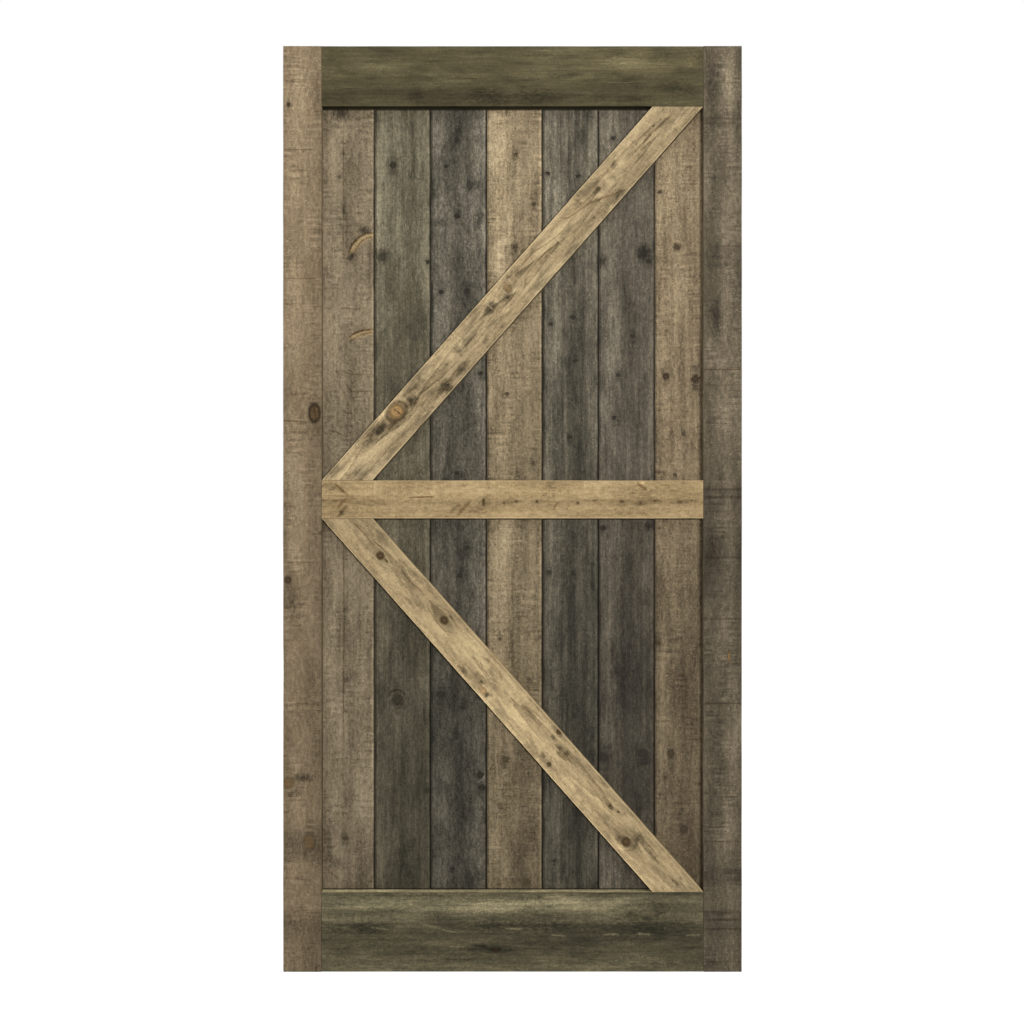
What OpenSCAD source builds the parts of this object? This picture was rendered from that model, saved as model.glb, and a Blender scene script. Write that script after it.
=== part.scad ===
// Sliding barn door slab with a K brace.
// A layer of tongue-and-groove planks stands behind a layer of face boards: two stiles,
// three rails and two diagonal braces. Countersunk screws, driven from the back, hold
// each face board to the planks that it crosses.
// X runs across the door, Z up and Y from front to back. The origin is at the bottom
// edge, on the centre line, where the two layers meet.

/* [Door] */
// Width of the slab
door_w = 1058; // [860:1:1260]
// Height of the slab
door_h = 2134; // [1800:1:2440]

/* [Face boards] */
// Thickness of the stiles, rails and braces
face_t = 19; // [16:0.5:28]
// Width of each stile
stile_w = 89; // [70:1:120]
// Width of the top rail
top_rail_w = 139; // [90:1:190]
// Width of the bottom rail
bottom_rail_w = 184; // [120:1:250]
// Width of the middle rail
mid_rail_w = 88; // [60:1:140]
// How far the middle rail sits below the middle of the opening
mid_rail_drop = 0.5; // [-60:0.5:60]
// Width of each diagonal brace
brace_w = 88; // [60:1:120]
// Chamfer on the front arrises of the face boards
face_chamfer = 1.2; // [0.4:0.1:3]

/* [Planks] */
// Thickness of the planks
plank_t = 19; // [16:0.5:28]
// Width that a full plank covers, from joint to joint, before the row is fitted to the door
plank_w = 130; // [90:1:190]
// Width of the two planks behind the stiles
edge_plank_w = 74; // [60:1:90]
// How far the row of planks sits right of the centre line
plank_shift = 4.5; // [-10:0.5:10]
// Open joint between the faces of two planks
plank_gap = 1.4; // [0.6:0.1:3]
// Bevel on both sides of each plank joint
plank_bevel = 1.2; // [0.4:0.1:3]

/* [Tongue and groove] */
// Thickness of the tongue
tongue_t = 6; // [4:0.5:8]
// How far the tongue enters its groove
tongue_reach = 7; // [5:0.5:10]
// Clearance on each side of the tongue and at its tip
tongue_clear = 0.25; // [0.1:0.05:0.5]

/* [Guide groove] */
// Width of the floor guide's groove in the bottom edge
guide_w = 8; // [6:0.5:12]
// Depth of the floor guide's groove
guide_d = 18; // [10:1:25]

/* [Screws] */
// Diameter of the screw's shank
screw_d = 4.2; // [3:0.1:5]
// How far each screw enters the face board
screw_bite = 13.4; // [8:0.2:14]
// Diameter of the screw's flat head
screw_head_d = 8.2; // [6.4:0.1:10]
// Height of the rim of the screw's head
screw_rim = 0.4; // [0.2:0.1:0.8]
// How far the heads sit below the back of the planks
screw_sink = 0.4; // [0.1:0.1:1]
// Clearance round the shank in the planks
screw_clear = 0.2; // [0.1:0.05:0.4]
// Side of the square driving recess in the head
drive_w = 2.8; // [2:0.1:3.2]
// Depth of the square driving recess
drive_d = 2; // [1:0.1:2.5]
// Distance from the ends of a stile to its first screw
stile_screw_end = 62; // [45:1:90]
// Largest spacing of the screws along a stile
stile_screw_step = 300; // [150:5:450]
// Distance from a plank's joint to a rail's screw
rail_screw_edge = 32; // [24:1:40]
// Distance from the edge of a rail to its screws
rail_screw_inset = 28; // [20:1:28]
// Least distance from the end of a rail to its screws
rail_screw_end = 16; // [10:1:24]
// Distance across the door from a brace's tip to its end screw
brace_screw_end = 30; // [20:1:50]

/* [Hidden] */
$fn = 48;

// Edges of the face boards
inner_x = door_w / 2 - stile_w;
opening_w = 2 * inner_x;
top_rail_z = door_h - top_rail_w;
mid_z = (bottom_rail_w + top_rail_z) / 2 - mid_rail_drop;
mid_top_z = mid_z + mid_rail_w / 2;
mid_bottom_z = mid_z - mid_rail_w / 2;

// Row of planks, counted from 0 at the left: an edge plank, full planks of even width and the
// other edge plank
row_w = door_w - 2 * edge_plank_w;
full_planks = round(row_w / plank_w);
plank_pitch = row_w / full_planks;
last_plank = full_planks + 1;
function plank_joint(k) = plank_shift + (k - full_planks / 2) * plank_pitch;
function plank_left(i) = i == 0 ? -door_w / 2 : plank_joint(i - 1);
function plank_right(i) = i == last_plank ? door_w / 2 : plank_joint(i);
function plank_mid(i) = (plank_left(i) + plank_right(i)) / 2;

// Length along a rail that a brace's end takes up, when the brace is w wide and fills an
// opening of height h from corner to corner: the positive root of
// e^2 (h^2 - w^2) + 2 w^2 W e - w^2 (h^2 + W^2) = 0, with W the width of the opening
function brace_end(h, w, W) =
    (w * sqrt(pow(w * W, 2) + (h * h - w * w) * (h * h + W * W)) - w * w * W) / (h * h - w * w);

upper_h = top_rail_z - mid_top_z;
lower_h = mid_bottom_z - bottom_rail_w;
upper_end = brace_end(upper_h, brace_w, opening_w);
lower_end = brace_end(lower_h, brace_w, opening_w);

// Half of the run across the door of a brace's centre line
function brace_half_run(end) = (opening_w - end) / 2;

// Length of a screw, head included, and height of the cone under its head, at 45 degrees
screw_l = plank_t - screw_sink + screw_bite;
screw_cone = (screw_head_d - screw_d) / 2;

// Places of the screws, as [x, z] on the back of the door
stile_screw_x = door_w / 2 - stile_w / 2;
stile_steps = ceil((door_h - 2 * stile_screw_end) / stile_screw_step);
stile_screw_zs = [
    for (k = [0:stile_steps]) stile_screw_end + k * (door_h - 2 * stile_screw_end) / stile_steps
];
function stile_screws_at(side) = [for (z = stile_screw_zs) [side * stile_screw_x, z]];

// A place across the door, kept within reach of the centre line
function kept_within(x, reach) = min(max(x, -reach), reach);

// Two screws in each full plank behind a rail, one near each edge of the rail
function rail_screws_at(z_low, z_high) = [
    for (i = [1:full_planks], side = [-1, 1])
        let (
            x = side < 0 ? plank_left(i) + rail_screw_edge : plank_right(i) - rail_screw_edge,
            z = side < 0 ? z_high - rail_screw_inset : z_low + rail_screw_inset
        )
        [kept_within(x, inner_x - rail_screw_end), z]
];

// One screw in each full plank behind a brace that goes from z_left to z_right
function brace_screws_at(z_left, z_right, end) = [
    for (i = [1:full_planks])
        let (
            run = brace_half_run(end),
            x = kept_within(plank_mid(i), run - brace_screw_end)
        )
        [x, z_left + (x + run) / (2 * run) * (z_right - z_left)]
];

left_stile_screws_at = stile_screws_at(-1);
right_stile_screws_at = stile_screws_at(1);
top_rail_screws_at = rail_screws_at(top_rail_z, door_h);
mid_rail_screws_at = rail_screws_at(mid_bottom_z, mid_top_z);
bottom_rail_screws_at = rail_screws_at(0, bottom_rail_w);
upper_brace_screws_at = brace_screws_at(mid_top_z, top_rail_z, upper_end);
lower_brace_screws_at = brace_screws_at(mid_bottom_z, bottom_rail_w, lower_end);
all_screws_at = concat(
    left_stile_screws_at, right_stile_screws_at, top_rail_screws_at, mid_rail_screws_at,
    bottom_rail_screws_at, upper_brace_screws_at, lower_brace_screws_at
);

// Colours of the weathered boards
plank_colours = [
    "#857762", "#87786a", "#5f594c", "#4f4f4f", "#8c7d66", "#57544c", "#59554f", "#87795f", "#6b6154"
];
brace_colour = "#ab9468";
rail_colour = "#5c573f";
screw_colour = "#3b3a38";
function plank_colour(i) = plank_colours[i % len(plank_colours)];

// Length by which a cutting shape passes the face that it cuts
overcut = 1;

plank_names = concat(
    ["left_edge_plank"], [for (i = [1:full_planks]) str("plank_", i)], ["right_edge_plank"]
);

// A face board standing on end: w wide, centred on X, its back on the plane between the layers
module face_board(w, length) {
    c = face_chamfer;
    linear_extrude(length)
        polygon([
            [-w / 2, 0], [w / 2, 0], [w / 2, c - face_t], [w / 2 - c, -face_t],
            [c - w / 2, -face_t], [-w / 2, c - face_t]
        ]);
}

// A face board lying across the opening, with its lower edge at z
module cross_board(w, z) {
    translate([-opening_w / 2, 0, z + w / 2]) rotate([0, 90, 0]) face_board(w, opening_w);
}

// The groove in the bottom edge, cut half in the planks and half in the face boards
module guide_groove() {
    translate([-door_w / 2 - overcut, -guide_w / 2, -overcut])
        cube([door_w + 2 * overcut, guide_w, guide_d + overcut]);
}

// Holes that the screws' shanks fill in the face boards
module pilot_holes(places) {
    for (p = places)
        translate([p.x, plank_t - screw_sink - screw_l, p.y]) rotate([-90, 0, 0])
            cylinder(d = screw_d, h = screw_l);
}

// Countersunk holes for the screws in the planks
module sunk_holes(places) {
    seat = plank_t - screw_sink;
    for (p = places)
        translate([p.x, 0, p.y]) rotate([-90, 0, 0]) {
            translate([0, 0, -overcut]) cylinder(d = screw_d + 2 * screw_clear, h = plank_t);
            translate([0, 0, seat - screw_rim - screw_cone])
                cylinder(d1 = screw_d, d2 = screw_head_d, h = screw_cone);
            translate([0, 0, seat - screw_rim])
                cylinder(d = screw_head_d, h = screw_rim + screw_sink + overcut);
        }
}

// A flat-head screw along Y, its tip towards the front and its head let into the planks
module screw() {
    tip = screw_d;
    head = screw_rim + screw_cone;
    translate([0, plank_t - screw_sink, 0]) rotate([90, 0, 0])
        difference() {
            rotate_extrude()
                polygon([
                    [0, 0], [screw_head_d / 2, 0], [screw_head_d / 2, screw_rim], [screw_d / 2, head],
                    [screw_d / 2, screw_l - tip], [0, screw_l]
                ]);
            translate([-drive_w / 2, -drive_w / 2, -overcut]) cube([drive_w, drive_w, drive_d + overcut]);
        }
}

module screws(places) {
    color(screw_colour)
        for (p = places) translate([p.x, 0, p.y]) screw();
}

module stile(side, places) {
    difference() {
        translate([side * (door_w - stile_w) / 2, 0, 0]) face_board(stile_w, door_h);
        guide_groove();
        pilot_holes(places);
    }
}

module left_stile() {
    color("#8f7f67") stile(-1, left_stile_screws_at);
}

module right_stile() {
    color("#6d6357") stile(1, right_stile_screws_at);
}

module top_rail() {
    color(rail_colour)
        difference() {
            cross_board(top_rail_w, top_rail_z);
            pilot_holes(top_rail_screws_at);
        }
}

module mid_rail() {
    color(brace_colour)
        difference() {
            cross_board(mid_rail_w, mid_bottom_z);
            pilot_holes(mid_rail_screws_at);
        }
}

module bottom_rail() {
    color(rail_colour)
        difference() {
            cross_board(bottom_rail_w, 0);
            guide_groove();
            pilot_holes(bottom_rail_screws_at);
        }
}

// A brace from z_left at the left stile to z_right at the right one, with level ends
module brace(z_left, z_right, end, places) {
    rise = z_right - z_left;
    run = 2 * brace_half_run(end);
    tilt = atan2(run, rise);
    length = sqrt(rise * rise + run * run) + 2 * end;
    color(brace_colour)
        difference() {
            intersection() {
                translate([0, 0, (z_left + z_right) / 2]) rotate([0, tilt, 0])
                    translate([0, 0, -length / 2]) face_board(brace_w, length);
                translate([-door_w / 2, -face_t - overcut, min(z_left, z_right)])
                    cube([door_w, face_t + 2 * overcut, abs(rise)]);
            }
            pilot_holes(places);
        }
}

module upper_brace() {
    brace(mid_top_z, top_rail_z, upper_end, upper_brace_screws_at);
}

module lower_brace() {
    brace(mid_bottom_z, bottom_rail_w, lower_end, lower_brace_screws_at);
}

// Section of plank i: a groove in its left edge and a tongue on its right one, except at the
// door's own edges, which are cut square
module plank_section(i) {
    left = plank_left(i) + (i == 0 ? 0 : plank_gap / 2);
    right = plank_right(i) - (i == last_plank ? 0 : plank_gap / 2);
    b = plank_bevel;
    mid = plank_t / 2;
    groove_t = tongue_t / 2 + tongue_clear;
    groove_x = left + tongue_reach + tongue_clear;
    tongue_x = right + plank_gap + tongue_reach;
    left_edge = i == 0
        ? [[left, plank_t], [left, 0]]
        : [[left + b, plank_t], [left, plank_t - b], [left, mid + groove_t], [groove_x, mid + groove_t],
           [groove_x, mid - groove_t], [left, mid - groove_t], [left, b], [left + b, 0]];
    right_edge = i == last_plank
        ? [[right, 0], [right, plank_t]]
        : [[right - b, 0], [right, b], [right, mid - tongue_t / 2], [tongue_x, mid - tongue_t / 2],
           [tongue_x, mid + tongue_t / 2], [right, mid + tongue_t / 2], [right, plank_t - b],
           [right - b, plank_t]];
    polygon(concat(left_edge, right_edge));
}

module plank(i) {
    near = [
        for (p = all_screws_at)
            if (p.x > plank_left(i) - screw_head_d && p.x < plank_right(i) + screw_head_d + tongue_reach) p
    ];
    color(plank_colour(i))
        difference() {
            linear_extrude(door_h) plank_section(i);
            guide_groove();
            sunk_holes(near);
        }
}

left_stile();
right_stile();
top_rail();
mid_rail();
bottom_rail();
upper_brace();
lower_brace();
for (i = [0:last_plank]) plank(i);
screws(left_stile_screws_at);  // left_stile_screws
screws(right_stile_screws_at);  // right_stile_screws
screws(top_rail_screws_at);  // top_rail_screws
screws(mid_rail_screws_at);  // mid_rail_screws
screws(bottom_rail_screws_at);  // bottom_rail_screws
screws(upper_brace_screws_at);  // upper_brace_screws
screws(lower_brace_screws_at);  // lower_brace_screws
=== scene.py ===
import math

import bpy
import numpy as np
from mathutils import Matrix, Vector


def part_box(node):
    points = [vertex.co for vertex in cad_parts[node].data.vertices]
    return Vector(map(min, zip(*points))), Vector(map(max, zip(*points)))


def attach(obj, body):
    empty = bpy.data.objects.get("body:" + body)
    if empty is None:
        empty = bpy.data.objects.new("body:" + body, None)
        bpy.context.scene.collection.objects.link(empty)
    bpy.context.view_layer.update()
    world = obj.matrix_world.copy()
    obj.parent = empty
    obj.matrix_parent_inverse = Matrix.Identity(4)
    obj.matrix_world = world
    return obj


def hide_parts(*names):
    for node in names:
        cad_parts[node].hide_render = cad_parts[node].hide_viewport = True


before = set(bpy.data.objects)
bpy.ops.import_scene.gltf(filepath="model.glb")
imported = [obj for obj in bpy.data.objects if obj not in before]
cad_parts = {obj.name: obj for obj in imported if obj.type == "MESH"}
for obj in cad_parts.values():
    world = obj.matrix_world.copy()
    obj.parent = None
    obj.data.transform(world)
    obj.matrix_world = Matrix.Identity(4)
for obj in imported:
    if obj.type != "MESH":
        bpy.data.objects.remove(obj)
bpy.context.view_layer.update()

# Lengths of the door are in millimetres, and MM turns them into Blender's metres
MM = 0.001

# The photo's camera: one pixel on the front plane, and where the camera stands
PHOTO_MID = 512
PIXEL = 2.3043
CAMERA_X = -1.15
CAMERA_Z = 1060.0
CAMERA_AWAY = 2430.0
FRONT_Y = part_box("left_stile")[0].y / MM
CAMERA_Y = FRONT_Y - CAMERA_AWAY
SENSOR = 36.0

# Joinery of the boards, as in the CAD model
CHAMFER = 1.2
PLANK_BEVEL = 1.2
PLANK_GAP = 1.4
TONGUE_T = 6.0
TONGUE_REACH = 7.0
TONGUE_CLEAR = 0.25
GUIDE_W = 8.0
GUIDE_D = 18.0

# Spacing of the mesh on the front, the edges and the back, and along the boards
FRONT_STEP = 2.8
SIDE_STEP = 5.0
BACK_STEP = 5.6
ROW_STEP = 5.5

# The pale boards carry more lines, so their meshes are finer by this factor
FINE = 0.62
FINE_BOARDS = ("mid_rail", "upper_brace", "lower_brace")

# An arris has its middle point at this share of the chamfer, and wear moves it by this much both ways
ARRIS_SHARE = 0.3
SLANT = 0.7

# A knot's halo is drawn out along the grain by this factor, and this is the distance where no knot is near
KNOT_REACH = 2.6
KNOT_FAR = 25.0

# How far a knot pushes the grain aside, and how far that reaches along and across, in its half sizes
PUSH = 1.2
PUSH_ALONG = 2.2
PUSH_ACROSS = 5.0

# A line shows within this distance on a coarse mesh, or this far past its own width
CRACK_REACH = 6.5
CRACK_MARGIN = 2.4

# A line grows from a thin tip at this rate, runs past its end by this much, and these stand for no line
CRACK_TIP = 0.1
CRACK_TAPER = 6.0
CRACK_OVERRUN = 0.5
CRACK_FAR = 999.0
NO_CRACK = 99.0

# A torn hollow, from its line to its far side: shares of its width, and how deep it is there
TEAR_PLACES = (0, 0.2, 0.8, 1.1)
TEAR_DEPTHS = (0, 1, 0.8, 0)
TEAR_SHOWN = 0.8

# Half width of the band in which the growth rings show
RING_REACH = 20.0

# How far the dirt of the plank joints reaches onto the planks, at their right and at their left edge
JOINT_DIRT = 3.2
LEFT_DIRT = 5.0

# Width of the painted highlight along a plank's right edge, the side from which the key light comes
EDGE_HIGHLIGHT_W = 3.0

# Tones are levels as in the photo, and this power turns them into factors on linear colour
TONE_POWER = 2.2

# Tones of the sides, painted lighter where light falls on them and darker where they lie in shade: of the
# face boards, first the left or upper one, and of the planks
SIDE_LIGHT_AND_SHADE = {
    "left_stile": (0.8, 1.0), "right_stile": (1.25, 0.8), "top_rail": (0.8, 0.55), "mid_rail": (0.8, 0.6),
    "bottom_rail": (2.05, 0.8), "upper_brace": (0.7, 0.5), "lower_brace": (1.05, 0.6),
}
PLAIN_SIDE_SHADE = (0.8, 0.8)
# The sides in the planks' joints, darker as their seams are
JOINT_SIDES = 0.8

# Tones of the upper arrises that carry a dark line, and of the tongues in the joints
EDGE_TONES = {"bottom_rail": 0.3}
PLAIN_SEAM = 0.7

# How much less far the painted shade on the planks reaches, on the same two sides of the face boards: it lies
# mostly on the sides where their shadows fall
PAINTED_SHADE_LESS = {
    "left_stile": (9.0, 3.4), "right_stile": (4.2, 9.0), "top_rail": (9.0, 0.5), "mid_rail": (9.0, 0.0),
    "bottom_rail": (0.8, 9.0), "upper_brace": (-1.0, 2.0), "lower_brace": (9.0, -1.4),
}

# Distances from a face board and from an arris are measured up to here
BOARD_FAR = 30.0
ARRIS_FAR = 20.0

# Wear in millimetres: the least on each face, and bumps with their height and sizes across and along a board
FRONT_WEAR = 0.25
WAVES = (0.35, 46, 330)
RIDGES = (0.3, 6, 190)
PITS = (0.18, 3.2, 9)
ARRIS_WEAR = 0.25
CHIPS = (0.9, 40, 34)
SIDE_WEAR = 0.1
SIDE_WAVES = (0.4, 12, 70)

# Depths of the hollows at knots and tears, the spread of the first, and the back's share of the front's wear
KNOT_HOLLOW = 0.5
KNOT_SPREAD = 0.64
TEAR_HOLLOW = 1.2
BACK_SHARE = 0.6

# What a column of the section lies on
FRONT, EDGE, SIDE, BACK, JOINT = range(5)


def photo_point(px, py, plane_y):
    """x and z of the point on a plane of constant y that the photo shows at a pixel."""
    size = PIXEL * (plane_y - CAMERA_Y) / CAMERA_AWAY
    return CAMERA_X + (px - PHOTO_MID) * size, CAMERA_Z - (py - PHOTO_MID) * size


# Repeatable noise

def lattice(ix, iy, seed):
    """A value from 0 to 1 for each pair of whole numbers."""
    mixed = (ix * 374761393 + iy * 668265263 + seed * 974711) & 0xFFFFFFFF
    mixed = ((mixed ^ (mixed >> 13)) * 1274126177) & 0xFFFFFFFF
    return ((mixed ^ (mixed >> 16)) & 0xFFFF) / 0xFFFF


def noise(x, y, seed):
    """Smooth noise from 0 to 1, with one bump to each unit of x and y."""
    x, y = np.broadcast_arrays(x, y)
    ix = np.floor(x).astype(np.int64)
    iy = np.floor(y).astype(np.int64)
    fx = x - ix
    fy = y - iy
    fx = fx * fx * (3 - 2 * fx)
    fy = fy * fy * (3 - 2 * fy)
    low = lattice(ix, iy, seed) * (1 - fx) + lattice(ix + 1, iy, seed) * fx
    high = lattice(ix, iy + 1, seed) * (1 - fx) + lattice(ix + 1, iy + 1, seed) * fx
    return low * (1 - fy) + high * fy


def bumps(form, u, v, seed, power=1):
    """Noise of a form, which gives its height and the sizes of its bumps across and along a board."""
    height, across, along = form
    return height * noise(u / across, v / along, seed) ** power


# Sections of the boards: u runs across the front, y from the front to the back

def steps(first, last, size):
    """Evenly spaced places from first to last, about size apart."""
    return np.linspace(first, last, max(2, round(abs(last - first) / size) + 1))


class Section:
    """The outline of a board, clockwise from the left end of its front, seen from above."""

    def __init__(self):
        self.parts = []

    def go(self, us, ys, inward, kind):
        """Adds points, with the direction in which wear moves them."""
        us, ys = np.broadcast_arrays(np.atleast_1d(us).astype(float), np.atleast_1d(ys).astype(float))
        for u, y in zip(us, ys):
            self.parts.append((u, y, inward[0], inward[1], kind))

    def close(self):
        """Sorts the points into columns and measures the way round."""
        table = np.array(self.parts)
        self.u, self.y, self.in_u, self.in_y = table[:, :4].T
        self.kind = table[:, 4].astype(int)
        ends = np.roll(table[:, :2], -1, axis=0)
        lengths = np.hypot(*(ends - table[:, :2]).T)
        self.girth = self.u[0] + np.concatenate([[0], np.cumsum(lengths)])
        return self


def face_section(half, depth, grooved=False, size=1.0):
    """A face board, with worn front arrises and, on the bottom rail, the guide groove's half."""
    line = Section()
    flat = half - CHAMFER
    soft = ARRIS_SHARE * CHAMFER
    line.go(steps(-flat, flat, FRONT_STEP * size), 0, (0, 1), FRONT)
    line.go(half - soft, soft, (-SLANT, SLANT), EDGE)
    if grooved:
        ledge = depth - GUIDE_W / 2
        line.go(half, steps(CHAMFER, ledge, SIDE_STEP), (-1, 0), SIDE)
        line.go(half - GUIDE_D, ledge, (0, 0), JOINT)
        line.go(steps(half - GUIDE_D, -half, BACK_STEP), depth, (0, 0), BACK)
    else:
        line.go(half, steps(CHAMFER, depth, SIDE_STEP)[:-1], (-1, 0), SIDE)
        line.go(steps(half, -half, BACK_STEP), depth, (0, 0), BACK)
    line.go(-half, steps(depth, CHAMFER, SIDE_STEP)[1:], (1, 0), SIDE)
    line.go(soft - half, soft, (SLANT, SLANT), EDGE)
    return line.close()


def plank_section(half, depth, grooved, tongued):
    """A plank, with a groove in its left edge and a tongue on its right one, or cut square there."""
    line = Section()
    mid = depth / 2
    soft = ARRIS_SHARE * PLANK_BEVEL
    left_flat = -half + PLANK_BEVEL * grooved
    right_flat = half - PLANK_BEVEL * tongued
    line.go(steps(left_flat, right_flat, FRONT_STEP), 0, (0, 1), FRONT)
    if tongued:
        tip = half + PLANK_GAP + TONGUE_REACH
        thin = TONGUE_T / 2
        line.go(half - soft, soft, (-SLANT, SLANT), EDGE)
        line.go(half, PLANK_BEVEL, (-1, 0), SIDE)
        line.go([half, tip, tip, half], [mid - thin, mid - thin, mid + thin, mid + thin], (0, 0), JOINT)
        line.go(half, depth - PLANK_BEVEL, (-1, 0), SIDE)
        line.go(half - soft, depth - soft, (-SLANT, -SLANT), EDGE)
    else:
        line.go(half, steps(0, depth, SIDE_STEP)[1:-1], (-1, 0), SIDE)
    line.go(steps(right_flat, left_flat, BACK_STEP), depth, (0, -1), BACK)
    if grooved:
        floor = TONGUE_REACH + TONGUE_CLEAR - half
        thin = TONGUE_T / 2 + TONGUE_CLEAR
        line.go(soft - half, depth - soft, (SLANT, -SLANT), EDGE)
        line.go(-half, depth - PLANK_BEVEL, (1, 0), SIDE)
        line.go([-half, floor, floor, -half], [mid + thin, mid + thin, mid - thin, mid - thin], (0, 0), JOINT)
        line.go(-half, PLANK_BEVEL, (1, 0), SIDE)
        line.go(soft - half, soft, (SLANT, SLANT), EDGE)
    else:
        line.go(-half, steps(depth, 0, SIDE_STEP)[1:-1], (1, 0), SIDE)
    return line.close()


# Marks on the boards, placed by the pixels at which the photo shows them

def knot(x, y, across=3, along=2.4, dark=0.7, warm=0.0):
    """A knot, with its half sizes in pixels across and along its board."""
    return dict(x=x, y=y, across=across, along=along, dark=dark, warm=warm)


def smudge(x, y, across, along, dark=0.6):
    """A stain with soft edges: dark, or pale where dark is negative."""
    return dict(x=x, y=y, across=across, along=along, dark=dark)


def crack(*points, width=0.9, dark=0.7, tear=0.0):
    """A line through pixels, pale where dark is negative. A tear bares this many pixels on its right."""
    return dict(points=points, width=width, dark=dark, tear=tear)


def level(left, right, y, width=0.9, dark=0.7):
    """A level line, as a saw leaves it."""
    return crack((left, y), (right, y), width=width, dark=dark)


# The middle lines of the braces in the photo, in pixels
UPPER_LINE = ((347, 481), (680, 107))
LOWER_LINE = ((347, 518), (680, 893))


def beside(line, along, across):
    """The pixel that lies so far along a line and so far to its right."""
    (x, y), (end_x, end_y) = line
    length = math.hypot(end_x - x, end_y - y)
    way_x = (end_x - x) / length
    way_y = (end_y - y) / length
    return x + way_x * along - way_y * across, y + way_y * along + way_x * across


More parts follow.
